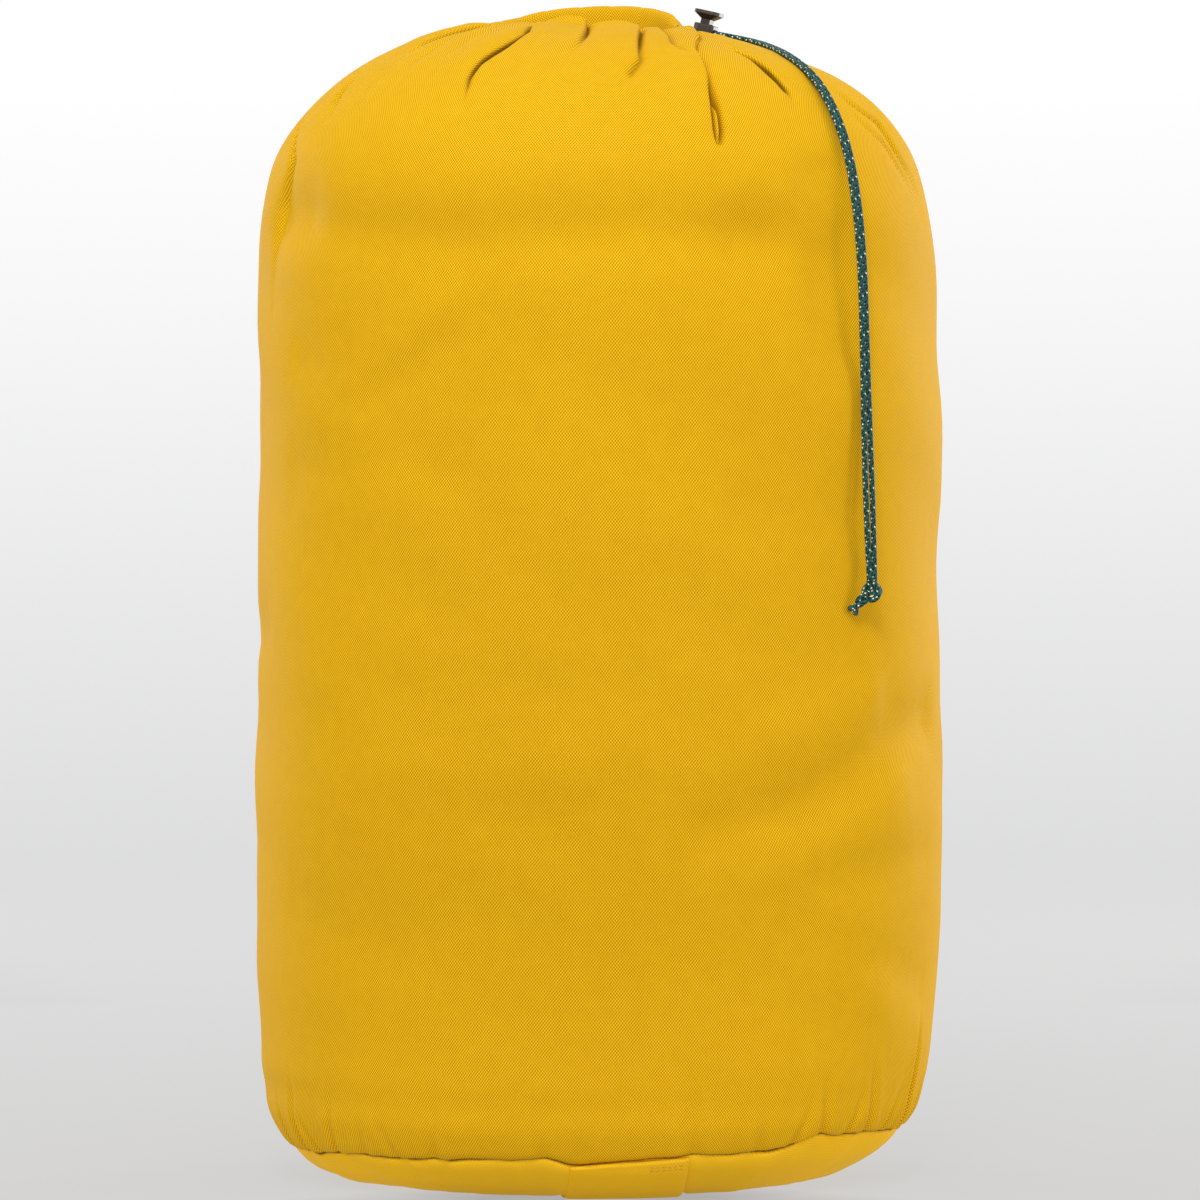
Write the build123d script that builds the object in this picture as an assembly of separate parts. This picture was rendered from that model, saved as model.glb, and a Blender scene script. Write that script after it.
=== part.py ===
from build123d import *
import math
import os

# Drawstring stuff sack, standing full-shaped on its round base.
# Millimetres. +Z is up, the origin is the centre of the flat underside, -Y is
# the front, +X is the side where the drawcord leaves the mouth.

# ---------------------------------------------------------------- dimensions
wall = 1.0                 # fabric wall drawn 1 mm thick
body_radius = 156.6        # filled body
seam_radius = 137.0        # base seam
seam_height = 15.2
floor_radius = 100.0       # flat part of the base
tunnel_centre = (-7.0, 0.0, 526.6)
tunnel_tilt = 10.0         # mouth ring tilted, high at the back
tunnel_inner = 33.5        # clear radius of the cinched mouth
tunnel_outer = 42.5
tunnel_half_height = 6.0
neck_radius = 38.2
moat_height = 507.5        # sunk ring between the mouth and the shoulder
cord_d = 2.5
strap_width = 52.0
strap_thick = 1.5
channel_depth = 1.6
strap_turn = 5.4             # the strap crosses the base a little off the front-to-back line
lock_travel = 6.0
press_travel = 2.0

os.makedirs("parts", exist_ok=True)


def save(shape, node):
    export_step(shape, "parts/" + node + ".step")


def offset_profile(pts, d):
    """Points moved sideways by d along the local normal (left of travel)."""
    out = []
    for i, (r, z) in enumerate(pts):
        a = pts[max(i - 1, 0)]
        b = pts[min(i + 1, len(pts) - 1)]
        tr, tz = b[0] - a[0], b[1] - a[1]
        n = math.hypot(tr, tz)
        out.append((r - tz / n * d, z + tr / n * d))
    return out


def cord_radii(pts):
    vs = [Vector(*p) for p in pts]
    runs = [(b - a).length for a, b in zip(vs, vs[1:])]
    radii = []
    for i in range(1, len(vs) - 1):
        turn = (vs[i] - vs[i - 1]).get_angle(vs[i + 1] - vs[i])
        radii.append(0.45 * min(runs[i - 1], runs[i]) / math.tan(math.radians(turn / 2)))
    return vs, runs, radii


def cord_tube(pts, d, name, location=None):
    vs, runs, radii = cord_radii(pts)
    path = FilletPolyline(*vs, radius=radii)
    if location is not None:
        path = location * path
    solid = sweep(Plane(origin=path @ 0, z_dir=path % 0) * Circle(d / 2), path=path)
    want = math.pi * d * d / 4 * path.length
    print(name, "length %.1f" % path.length, "volume/section*length %.4f" % (solid.volume / want),
          "solids", len(solid.solids()), "radii", [round(r, 1) for r in radii])
    return solid


# ---------------------------------------------------------------- body panel
# outer profile of the filled body from the base seam up over the shoulder
side_profile = [(seam_radius, seam_height), (144.0, 25.0), (148.8, 34.5), (151.3, 44.0),
                (153.3, 54.0), (154.6, 65.0), (155.7, 82.0), (156.5, 108.0),
                (body_radius, 140.0), (body_radius, 220.0), (body_radius, 300.0), (body_radius, 385.0),
                (155.8, 412.0), (154.3, 430.0), (152.3, 442.0), (149.0, 455.0), (144.5, 465.0),
                (138.3, 475.0), (131.5, 483.0), (122.5, 490.0), (111.5, 497.0), (102.5, 502.0),
                (92.0, 506.5), (82.0, 510.2), (75.0, 511.6), (68.0, 511.2), (60.0, 509.0),
                (54.0, moat_height)]
inner_profile = offset_profile(side_profile, wall)
inner_profile[0] = (seam_radius - wall, seam_height)
inner_profile[-1] = (54.0, moat_height - wall)


def revolved(lines):
    face = make_face(Plane.XZ * Polyline(*lines, close=True))
    return revolve(face, Axis.Z, 360)


body = revolved(side_profile + inner_profile[::-1])
# turned-in seam allowance at the base
allow_outer, allow_inner = seam_radius, 129.0
body += revolved([(allow_inner, seam_height), (allow_outer, seam_height),
                  (allow_outer + 0.4, seam_height + wall), (allow_inner, seam_height + wall)])
# flat gathered ring down in the moat, with the off-centre neck standing on it
body += Pos(0, 0, moat_height - wall / 2) * Cylinder(54.2, wall)
body -= Pos(tunnel_centre[0], 0, moat_height) * Cylinder(neck_radius - wall, 20)
neck = Pos(tunnel_centre[0], 0, moat_height - wall) * (
    Cylinder(neck_radius, 60, align=(Align.CENTER, Align.CENTER, Align.MIN))
    - Cylinder(neck_radius - wall, 60, align=(Align.CENTER, Align.CENTER, Align.MIN)))
ring_loc = Location(tunnel_centre, (tunnel_tilt, 0, 0))
neck -= ring_loc * Pos(0, 0, -tunnel_half_height) * Box(200, 200, 200, align=(Align.CENTER, Align.CENTER, Align.MIN))
body += neck
save(body, "body_panel")

# ---------------------------------------------------------------- base panel
base_lines = [(0.0, 0.0), (floor_radius, 0.0), (112.0, 1.2), (121.0, 3.2), (130.0, 7.2),
              (136.4, 12.6), (seam_radius, 14.1), (seam_radius, 15.1), (allow_inner, 15.1),
              (allow_inner, 14.1), (135.6, 14.1), (135.2, 13.2), (129.4, 8.1), (120.6, 4.2),
              (111.8, 2.2), (99.9, 1.0), (0.0, 1.0)]
base = revolved(base_lines)
channel_half = strap_width / 2 + 0.6
channel_len = 114.0
turned = Rot(0, 0, strap_turn)
base -= turned * Box(2 * channel_half + 2, 2 * channel_len, 2 * channel_depth)
base += turned * (Box(2 * channel_half + 2, 2 * channel_len, channel_depth + 1.0, align=(Align.CENTER, Align.CENTER, Align.MIN))
                  - Box(2 * channel_half, 2 * channel_len + 10, channel_depth, align=(Align.CENTER, Align.CENTER, Align.MIN)))
save(base, "base_panel")

# folded tape that binds the two turned-in seam allowances
binding = revolved([(127.6, 12.9), (133.6, 12.9), (133.6, 13.7), (128.5, 13.7), (128.5, 16.5), (133.6, 16.5),
                    (133.6, 17.3), (127.6, 17.3)])
save(binding, "base_seam_binding")

# thread of the base seam, lying in the seam line outside
seam_thread = revolved([(137.35, 14.2), (137.85, 14.2), (137.85, 14.9), (137.35, 14.9)])
save(seam_thread, "base_seam_thread")

# ---------------------------------------------------------------- base handle
# grab strap under the base, from the front seam to the back seam
strap_top = [(-137.6, 13.6), (-136.9, 12.4), (-130.6, 6.9), (-121.4, 2.9), (-114.5, 1.5),
             (114.5, 1.5), (121.4, 2.9), (130.6, 6.9), (136.9, 12.4), (137.6, 13.6)]
strap_low = [(138.9, 13.0), (138.1, 11.5), (131.6, 5.6), (122.1, 1.5), (114.6, 0.0),
             (-114.6, 0.0), (-122.1, 1.5), (-131.6, 5.6), (-138.1, 11.5), (-138.9, 13.0)]
strap = turned * extrude(make_face(Plane.YZ * Polyline(*(strap_top + strap_low), close=True)), strap_width / 2, both=True)
save(strap, "base_handle")

# two rows of stitching across each end of the strap
stitches = []
for side in (-1, 1):
    for y0, z0 in ((134.9, 8.05), (131.9, 5.35)):
        row = turned * Pos(0, side * (y0 + 0.45), z0) * Rot(side * 42, 0, 0) * Box(strap_width - 6, 0.5, 0.5)
        stitches.append(row)
save(Compound(children=[s.solids()[0] for s in stitches]), "handle_stitching")

# ---------------------------------------------------------------- side seam
seam_angle = 12.0
side_tape = Rot(0, 0, seam_angle) * Pos(body_radius - wall - 0.9, 0, 262.5) * Box(0.8, 12.0, 240.0)
side_thread = Rot(0, 0, seam_angle) * Pos(body_radius + 0.30, 0, 262.5) * Box(0.4, 0.5, 240.0)
save(side_tape, "side_seam_binding")
save(side_thread, "side_seam_thread")

# ---------------------------------------------------------------- drawcord tunnel
tunnel_mid = (tunnel_inner + tunnel_outer) / 2
tunnel_face = (Plane.XZ * Pos(tunnel_mid, 0, 0) * RectangleRounded(tunnel_outer - tunnel_inner, 2 * tunnel_half_height, 3.0)
               - Plane.XZ * Pos(tunnel_mid, 0, 0) * RectangleRounded(tunnel_outer - tunnel_inner - 2 * wall, 2 * tunnel_half_height - 2 * wall, 2.0))
tunnel = revolve(tunnel_face, Axis.Z, 360)
tunnel -= Pos(tunnel_outer - 0.6, 1.9, 0.4) * Box(3.4, 8.2, 5.4)
tunnel = ring_loc * tunnel
save(tunnel, "drawcord_tunnel")
# row of stitching that closes the tunnel hem, round the neck under the tunnel
t_thread = Pos(tunnel_centre[0], 0, 0) * revolved([(neck_radius + 0.05, 511.0), (neck_radius + 0.45, 511.0),
                                                   (neck_radius + 0.45, 511.5), (neck_radius + 0.05, 511.5)])
save(t_thread, "tunnel_thread")

# ---------------------------------------------------------------- drawcord
# the two free strands, from the tunnel's mouth to the knot
strand_front = [(35.6, 0.4, 527.2), (50.7, -4.5, 524.4), (67.5, -10.0, 520.7), (76.7, -29.6, 515.7),
                (84.7, -55.6, 508.9), (94.3, -77.7, 498.3), (101.9, -93.9, 483.8), (108.0, -104.5, 465.1),
                (112.0, -110.3, 442.0), (114.6, -112.6, 412.0), (115.6, -113.3, 375.0), (116.2, -113.6, 334.9),
                (117.2, -113.3, 299.9), (118.7, -112.0, 272.6)]
strand_rear = [(36.5, 3.2, 527.2), (51.6, -1.7, 524.4), (69.8, -7.9, 520.5), (79.3, -28.4, 515.3),
               (87.3, -54.4, 508.3), (96.7, -76.3, 497.7), (104.1, -92.1, 483.2), (110.0, -102.5, 464.9),
               (114.0, -108.3, 442.0), (116.6, -110.6, 412.0), (117.6, -111.1, 375.0), (119.0, -110.8, 335.1),
               (120.4, -109.9, 300.1), (120.9, -110.8, 272.6)]
tail_front = cord_tube(strand_front, cord_d, "drawcord_tail_front")
tail_rear = cord_tube(strand_rear, cord_d, "drawcord_tail_rear")
save(tail_front, "drawcord_tail_front")
save(tail_rear, "drawcord_tail_rear")

# the length held inside the tunnel, both ends turned out to the free strands
to_ring = ring_loc.inverse()


def in_ring(p):
    v = Vector(*p)
    q = (to_ring * Location(v)).position
    return (q.X, q.Y, q.Z)


a0, a1 = in_ring(strand_front[0]), in_ring(strand_front[1])
b0, b1 = in_ring(strand_rear[0]), in_ring(strand_rear[1])


def back(p, q, d):
    n = math.dist(p, q)
    return tuple(p[i] - (q[i] - p[i]) / n * d for i in range(3))


ring_r = tunnel_mid - 0.3
ring_pts = [a0, back(a0, a1, 3.6), (36.5, -1.6, 0.4)]
count = 26
for k in range(1, count):
    ang = math.radians(-360.0 * k / count + 2.0)
    ring_pts.append((ring_r * math.cos(ang), ring_r * math.sin(ang), 0.0))
ring_pts += [back(b0, b1, 4.2), b0]
ring_cord = cord_tube(ring_pts, cord_d, "drawcord_ring", ring_loc)
save(ring_cord, "drawcord_ring")

# overhand knot tied in both strands, and the two cut ends below it
knot_centre = (119.7, -112.0, 267.4)
knot = Pos(*knot_centre) * scale(Sphere(4.7), by=(0.95, 0.95, 1.13))
save(knot, "drawcord_knot")


def rod(p, q, d):
    v = Vector(*q) - Vector(*p)
    return Solid.make_cylinder(d / 2, v.length, Plane(origin=p, z_dir=v))


tips = [rod((116.9, -113.4, 264.8), (109.6, -113.8, 257.9), cord_d), rod((119.0, -112.6, 262.9), (114.6, -113.2, 254.9), cord_d)]
save(Compound(children=tips), "drawcord_ends")

# ---------------------------------------------------------------- cord lock
# local axes: x along the cords, y across them, z the plunger axis; z = 0 at the cords
cord_dir = Vector(*strand_front[1]) - Vector(*strand_front[0])
cord_dir = cord_dir / cord_dir.length
lock_centre = ((Vector(*strand_front[0]) + Vector(*strand_rear[0])) * 0.5) + cord_dir * 13.0
plan = math.atan2(cord_dir.Y, cord_dir.X)
lean = math.radians(13.5)
lock_x = Vector(math.cos(lean) * math.cos(plan), math.cos(lean) * math.sin(plan), -math.sin(lean))
lock_z = Vector(math.sin(lean) * math.cos(plan), math.sin(lean) * math.sin(plan), math.cos(lean))
lock = Plane(origin=lock_centre, x_dir=lock_x, z_dir=lock_z)
print("lock centre", tuple(round(c, 2) for c in lock_centre), "cord direction", tuple(round(c, 4) for c in cord_dir),
      "plunger axis", tuple(round(c, 4) for c in lock_z))


def block(x, y, z0, z1):
    return Pos(0, 0, z0) * Box(x, y, z1 - z0, align=(Align.CENTER, Align.CENTER, Align.MIN))


barrel = block(9.6, 11.4, -8.2, 3.6)
barrel = fillet(barrel.edges().filter_by(Axis.Z), 2.6)
barrel = fillet(barrel.faces().sort_by(Axis.Z)[0].edges(), 1.2)
barrel = fillet(barrel.faces().sort_by(Axis.Z)[-1].edges(), 0.6)
barrel -= block(4.8, 8.4, -7.2, 4.0)
barrel -= block(20, 6.4, -3.9, 1.85)
save(lock * barrel, "cord_lock_barrel")

stem = block(4.4, 8.0, -3.3, 6.2)
stem = fillet(stem.edges().filter_by(Axis.Z), 0.8)
stem -= block(20, 6.4, -1.85, 3.9)
flare = loft([Pos(0, 0, 5.9) * RectangleRounded(4.4, 8.0, 0.8), Pos(0, 0, 8.3) * RectangleRounded(12.0, 12.8, 3.6)])
cap = Pos(0, 0, 8.3) * extrude(RectangleRounded(12.2, 13.0, 3.7), 1.5)
cap = fillet(cap.faces().sort_by(Axis.Z)[-1].edges(), 0.5)
plunger = stem + flare + cap
save(lock * plunger, "cord_lock_plunger")

wire = 0.45
helix = Helix(pitch=1.02, height=3.06, radius=1.75)
spring = sweep(Plane(origin=helix @ 0, z_dir=helix % 0) * Circle(wire / 2), path=helix)
spring = lock * (Pos(0, 0, -6.85) * spring)
save(spring, "cord_lock_spring")

for n, s in (("barrel", barrel), ("plunger", plunger), ("spring", spring)):
    print(n, len(s.solids()), round(s.volume, 1))
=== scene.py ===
import math
import bpy
import numpy as np
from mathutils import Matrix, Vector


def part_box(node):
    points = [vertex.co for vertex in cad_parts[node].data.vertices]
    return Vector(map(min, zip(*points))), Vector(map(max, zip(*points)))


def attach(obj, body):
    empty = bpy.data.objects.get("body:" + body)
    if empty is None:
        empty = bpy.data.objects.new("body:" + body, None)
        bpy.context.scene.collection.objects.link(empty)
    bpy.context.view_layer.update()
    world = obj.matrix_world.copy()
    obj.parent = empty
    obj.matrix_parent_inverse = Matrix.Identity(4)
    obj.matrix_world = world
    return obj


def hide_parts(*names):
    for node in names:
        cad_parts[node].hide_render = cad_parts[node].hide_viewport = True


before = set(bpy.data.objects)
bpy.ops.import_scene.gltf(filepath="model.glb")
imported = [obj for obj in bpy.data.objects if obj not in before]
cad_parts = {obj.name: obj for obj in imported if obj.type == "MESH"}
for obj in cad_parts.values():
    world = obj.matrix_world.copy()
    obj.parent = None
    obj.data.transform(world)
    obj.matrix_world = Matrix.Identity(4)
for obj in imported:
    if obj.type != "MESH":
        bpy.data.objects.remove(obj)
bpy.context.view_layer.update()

MM = 0.001
SCENE = bpy.context.scene
COLL = SCENE.collection

# ------------------------------------------------------------------ camera
cam_data = bpy.data.cameras.new("camera")
cam = bpy.data.objects.new("camera", cam_data)
COLL.objects.link(cam)
cam.location = (0.0, -2.6, 0.264)
cam.rotation_euler = (math.pi / 2, 0, 0)
cam_data.lens = 169.57
cam_data.sensor_width = 36.0
cam_data.clip_start, cam_data.clip_end = 0.1, 50
SCENE.camera = cam


# ------------------------------------------------------------------ node helpers
class Nodes:
    def __init__(self, name):
        self.mat = bpy.data.materials.new(name)
        self.mat.use_nodes = True
        self.nt = self.mat.node_tree
        self.nt.nodes.clear()
        self.out = self.nt.nodes.new("ShaderNodeOutputMaterial")

    def add(self, kind, **props):
        n = self.nt.nodes.new(kind)
        for k, v in props.items():
            setattr(n, k, v)
        return n

    def link(self, a, b):
        self.nt.links.new(a, b)

    def _put(self, sock, v):
        if hasattr(v, "default_value") or hasattr(v, "links"):
            self.link(v, sock)
        else:
            sock.default_value = v

    def math(self, op, a, b=0.0, c=None, clamp=False):
        n = self.add("ShaderNodeMath", operation=op)
        n.use_clamp = clamp
        self._put(n.inputs[0], a)
        self._put(n.inputs[1], b)
        if c is not None:
            self._put(n.inputs[2], c)
        return n.outputs[0]

    def range(self, v, a, b, c=0.0, d=1.0, smooth=False):
        n = self.add("ShaderNodeMapRange")
        n.clamp = True
        if smooth:
            n.interpolation_type = "SMOOTHSTEP"
        self._put(n.inputs["Value"], v)
        for k, x in zip(("From Min", "From Max", "To Min", "To Max"), (a, b, c, d)):
            n.inputs[k].default_value = x
        return n.outputs[0]

    def mix(self, f, a, b, blend="MIX"):
        n = self.add("ShaderNodeMix", data_type="RGBA")
        n.blend_type = blend
        self._put(n.inputs[0], f)
        self._put(n.inputs[6], a)
        self._put(n.inputs[7], b)
        return n.outputs[2]

    def noise(self, vec, scale, detail=2.0, rough=0.5):
        n = self.add("ShaderNodeTexNoise")
        n.inputs["Scale"].default_value = scale
        n.inputs["Detail"].default_value = detail
        n.inputs["Roughness"].default_value = rough
        self.link(vec, n.inputs["Vector"])
        return n.outputs["Fac"]

    def uv(self, name):
        n = self.add("ShaderNodeUVMap")
        n.uv_map = name
        s = self.add("ShaderNodeSeparateXYZ")
        self.link(n.outputs[0], s.inputs[0])
        return s.outputs[0], s.outputs[1], n.outputs[0]

    def obj(self):
        return self.add("ShaderNodeTexCoord").outputs["Object"]

    def bump(self, h, strength, dist, normal=None):
        n = self.add("ShaderNodeBump")
        n.inputs["Strength"].default_value = strength
        n.inputs["Distance"].default_value = dist
        self.link(h, n.inputs["Height"])
        if normal is not None:
            self.link(normal, n.inputs["Normal"])
        return n.outputs[0]

    def shader(self, color, rough, normal=None, **consts):
        p = self.add("ShaderNodeBsdfPrincipled")
        self._put(p.inputs["Base Color"], color)
        self._put(p.inputs["Roughness"], rough)
        if normal is not None:
            self.link(normal, p.inputs["Normal"])
        for k, v in consts.items():
            p.inputs[k.replace("_", " ")].default_value = v
        self.link(p.outputs[0], self.out.inputs["Surface"])
        return self.mat


def rgb(r, g, b):
    """sRGB 0-255 to linear."""
    out = []
    for c in (r, g, b):
        c /= 255.0
        out.append(c / 12.92 if c <= 0.04045 else ((c + 0.055) / 1.055) ** 2.4)
    return (*out, 1.0)


def twill_material(name, base, light, dark, pitch=(1.28 * MM, 1.62 * MM), relief=1.0, sheen=0.02):
    """Fine twill: staggered yarn floats that line up on both diagonals, a little more on the one that rises to the
    right;
    the crease map marks the bottoms of folds and seams, where dark brown is mixed into the colour as painted shade."""
    m = Nodes(name)
    u, v, uv = m.uv("cloth")
    cr, _, _ = m.uv("crease_shade")
    wob = m.math("MULTIPLY", m.math("SUBTRACT", m.noise(uv, 130.0, 2.0), 0.5), 0.42 * MM)
    wob2 = m.math("MULTIPLY", m.math("SUBTRACT", m.noise(uv, 95.0, 2.0), 0.5), 0.42 * MM)
    pu = m.math("MULTIPLY", m.math("ADD", u, wob), 2 * math.pi / pitch[0])
    pv = m.math("MULTIPLY", m.math("ADD", v, wob2), 2 * math.pi / pitch[1])
    rise = m.math("COSINE", m.math("SUBTRACT", pu, pv))
    fall = m.math("COSINE", m.math("ADD", pu, pv))
    weave = m.math("ADD", m.math("MULTIPLY", rise, 0.29), m.math("MULTIPLY_ADD", fall, 0.21, 0.5))
    yarn = m.noise(uv, 1500.0, 1.0)
    blotch = m.noise(uv, 9.0, 3.0, 0.55)
    slub = m.noise(uv, 120.0, 3.0, 0.6)
    col = m.mix(m.range(weave, 0.10, 0.90), dark, light)
    col = m.mix(m.math("MULTIPLY_ADD", m.range(yarn, 0.3, 0.7), 0.12, 0.45 * (1.0 - relief)), col, base)
    col = m.mix(m.range(blotch, 0.25, 0.75, 0.0, 0.12), col, dark)
    col = m.mix(m.range(slub, 0.35, 0.75, 0.0, 0.10), col, light)
    # painted shade: dark brown mixed in where the crease map is high, in fold troughs and along seams
    col = m.mix(m.math("MULTIPLY", cr, 0.86), col, rgb(78, 44, 0))
    rough = m.math("ADD", m.range(weave, 0.0, 1.0, 0.66, 0.54), m.range(slub, 0.2, 0.8, -0.04, 0.06))
    h = m.math("ADD", weave, m.math("MULTIPLY", yarn, 0.25))
    nrm = m.bump(slub, 0.22, 0.25 * MM)
    nrm = m.bump(h, 0.40 * relief, 0.10 * MM, nrm)
    mat = m.shader(col, rough, nrm, Sheen_Weight=sheen, Sheen_Roughness=0.3, Specular_IOR_Level=0.02)
    p = [n for n in m.nt.nodes if n.type == "BSDF_PRINCIPLED"][0]
    p.inputs["Sheen Tint"].default_value = rgb(255, 226, 150)
    return mat


FAB_BASE = rgb(226, 169, 14)
FAB_LIGHT = rgb(255, 206, 34)
FAB_DARK = rgb(180, 117, 2)
mat_fabric = twill_material("fabric_twill", FAB_BASE, FAB_LIGHT, FAB_DARK)
# painted light: the base panel and the strap are the body's fabric painted lighter, standing in for light from the
# floor on these down-facing parts; their weave relief is lower
mat_base_lit = twill_material("base_twill_lit", rgb(252, 194, 34), rgb(255, 205, 46), rgb(232, 170, 14), relief=0.45)
mat_strap_lit = twill_material("strap_twill_lit", rgb(250, 191, 32), rgb(255, 203, 44), rgb(230, 168, 14), relief=0.45)


def thread_material(name, a, b):
    m = Nodes(name)
    o = m.obj()
    n1 = m.noise(o, 900.0, 2.0)
    w = m.add("ShaderNodeTexWave")
    w.inputs["Scale"].default_value = 1400.0
    w.inputs["Distortion"].default_value = 1.5
    m.link(o, w.inputs["Vector"])
    f = m.math("MULTIPLY_ADD", w.outputs["Fac"], 0.6, m.math("MULTIPLY", n1, 0.4))
    return m.shader(m.mix(f, a, b), m.range(n1, 0.2, 0.8, 0.5, 0.75), m.bump(f, 0.5, 0.08 * MM), Sheen_Weight=0.25)


mat_thread = thread_material("sewing_thread", rgb(170, 118, 12), rgb(226, 172, 44))
mat_thread_dark = thread_material("seam_thread", rgb(120, 78, 6), rgb(190, 138, 24))


def tape_material():
    m = Nodes("binding_tape")
    o = m.obj()
    w1 = m.add("ShaderNodeTexWave")
    w1.bands_direction = "Z"
    w1.inputs["Scale"].default_value = 420.0
    m.link(o, w1.inputs["Vector"])
    n = m.noise(o, 300.0, 3.0)
    f = m.math("MULTIPLY_ADD", w1.outputs["Fac"], 0.5, m.math("MULTIPLY", n, 0.5))
    return m.shader(m.mix(f, rgb(120, 84, 16), rgb(188, 140, 36)), m.range(n, 0.2, 0.8, 0.7, 0.9), m.bump(f, 0.5, 0.15 * MM), Sheen_Weight=0.2)


mat_tape = tape_material()


def plastic_material():
    m = Nodes("moulded_plastic")
    o = m.obj()
    fine = m.noise(o, 2600.0, 2.0)
    soft = m.noise(o, 160.0, 3.0)
    geo = m.add("ShaderNodeNewGeometry")
    edge = m.range(geo.outputs["Pointiness"], 0.50, 0.62)
    col = m.mix(m.range(soft, 0.3, 0.7), rgb(38, 31, 28), rgb(56, 46, 41))
    col = m.mix(m.math("MULTIPLY", edge, 0.5), col, rgb(112, 98, 90))
    rough = m.math("ADD", m.range(soft, 0.2, 0.8, 0.30, 0.42), m.math("MULTIPLY", fine, 0.08))
    return m.shader(col, rough, m.bump(fine, 0.25, 0.04 * MM), Specular_IOR_Level=0.5)


mat_plastic = plastic_material()


def steel_material():
    m = Nodes("spring_steel")
    o = m.obj()
    n = m.noise(o, 1800.0, 2.0)
    return m.shader(m.mix(n, rgb(150, 150, 148), rgb(205, 205, 202)), m.range(n, 0.2, 0.8, 0.22, 0.4), m.bump(n, 0.2, 0.02 * MM), Metallic=1.0)


mat_steel = steel_material()


def braid_material(name="cord_braid"):
    """Sixteen-carrier braid: u goes once round the cord, v is length in metres. Mostly teal carriers, some black, one pale tracer pair."""
    m = Nodes(name)
    u, v, uv = m.uv("braid")
    turns = m.math("MULTIPLY", v, 1.0 / (8.6 * MM))
    a = m.math("MULTIPLY", m.math("ADD", u, turns), 8.0)
    b = m.math("MULTIPLY", m.math("SUBTRACT", u, turns), 8.0)
    ia, ib = m.math("FLOOR", a), m.math("FLOOR", b)
    fa, fb = m.math("FRACT", a), m.math("FRACT", b)
    over = m.math("FLOORED_MODULO", m.math("ADD", ia, ib), 2.0)
    over = m.math("GREATER_THAN", over, 0.5)
    ca = m.math("FLOORED_MODULO", ia, 8.0)
    cb = m.math("FLOORED_MODULO", ib, 8.0)

    def is_(c, k):
        return m.math("COMPARE", c, float(k), 0.4)

    def either(c, ks):
        r = is_(c, ks[0])
        for k in ks[1:]:
            r = m.math("MAXIMUM", r, is_(c, k))
        return r

    under = m.math("SUBTRACT", 1.0, over)
    crossing = m.math("MAXIMUM", m.math("MULTIPLY", is_(ca, 0), either(cb, (1, 5))), m.math("MULTIPLY", is_(ca, 4), is_(cb, 1)))
    pale = m.math("MULTIPLY", over, crossing)
    pale = m.math("ADD", pale, m.math("MULTIPLY", under, m.math("MULTIPLY", is_(ca, 6), is_(cb, 6))), clamp=True)
    black = m.math("ADD", m.math("MULTIPLY", over, either(ca, (2, 5, 6))), m.math("MULTIPLY", m.math("SUBTRACT", 1.0, over), either(cb, (1, 3, 6))), clamp=True)
    ra = m.math("SINE", m.math("MULTIPLY", fa, math.pi))
    rb = m.math("SINE", m.math("MULTIPLY", fb, math.pi))
    ridge = m.math("ADD", m.math("MULTIPLY", over, ra), m.math("MULTIPLY", m.math("SUBTRACT", 1.0, over), rb))
    n = m.noise(m.obj(), 2200.0, 2.0)
    col = m.mix(m.range(n, 0.3, 0.7), rgb(6, 74, 77), rgb(32, 122, 116))
    col = m.mix(black, col, rgb(12, 14, 14))
    # painted shade: each carrier is darkened toward its edges, where it dips under its neighbours
    col = m.mix(m.range(ridge, 0.0, 0.7, 1.0, 0.0), col, rgb(2, 10, 10))
    col = m.mix(m.math("MULTIPLY", pale, m.range(ridge, 0.0, 0.25)), col, rgb(255, 242, 196))
    h = m.math("ADD", ridge, m.math("MULTIPLY", n, 0.2))
    return m.shader(col, m.range(ridge, 0.0, 1.0, 0.75, 0.5), m.bump(h, 0.6, 0.16 * MM), Sheen_Weight=0.04, Sheen_Roughness=0.4, Specular_IOR_Level=0.3)


mat_cord = braid_material()


def melted_material():
    m = Nodes("cord_cut_end")
    n = m.noise(m.obj(), 1500.0, 3.0)
    return m.shader(m.mix(n, rgb(10, 40, 48), rgb(36, 96, 106)), m.range(n, 0.2, 0.8, 0.3, 0.55), m.bump(n, 0.5, 0.15 * MM))


mat_melt = melted_material()


# ------------------------------------------------------------------ mesh helpers
def make_object(name, verts, faces, mat, uvs=None, uv_name="cloth", smooth=True, crease_shade=None):
    me = bpy.data.meshes.new(name)
    me.from_pydata([tuple(p) for p in verts], [], [tuple(int(i) for i in f) for f in faces])
    me.update()
    if uvs is not None:
        lay = me.uv_layers.new(name=uv_name)
        lay.data.foreach_set("uv", np.asarray(uvs, np.float32).ravel())
    # the crease map goes in as a second UV layer, from which the material paints shade
    if crease_shade is not None:
        lay = me.uv_layers.new(name="crease_shade")
        vi = np.empty(len(me.loops), np.int32)
        me.loops.foreach_get("vertex_index", vi)
        c = np.asarray(crease_shade, np.float32).ravel()[vi]
        lay.data.foreach_set("uv", np.stack([c, c], 1).ravel())
    if smooth:
        me.polygons.foreach_set("use_smooth", [True] * len(me.polygons))
    me.materials.append(mat)
    ob = bpy.data.objects.new(name, me)
    COLL.objects.link(ob)
    return ob


def grid_faces(nr, nc, wrap):
    i = np.arange(nr - 1)[:, None]
    j = np.arange(nc if wrap else nc - 1)[None, :]
    j1 = (j + 1) % nc
    a = i * nc + j
    b = i * nc + j1
    c = (i + 1) * nc + j1
    d = (i + 1) * nc + j
    return np.stack([a, b, c, d], -1).reshape(-1, 4)


def unit(v):
    v = np.asarray(v, float)
    return v / np.maximum(np.linalg.norm(v, axis=-1, keepdims=True), 1e-12)


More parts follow.
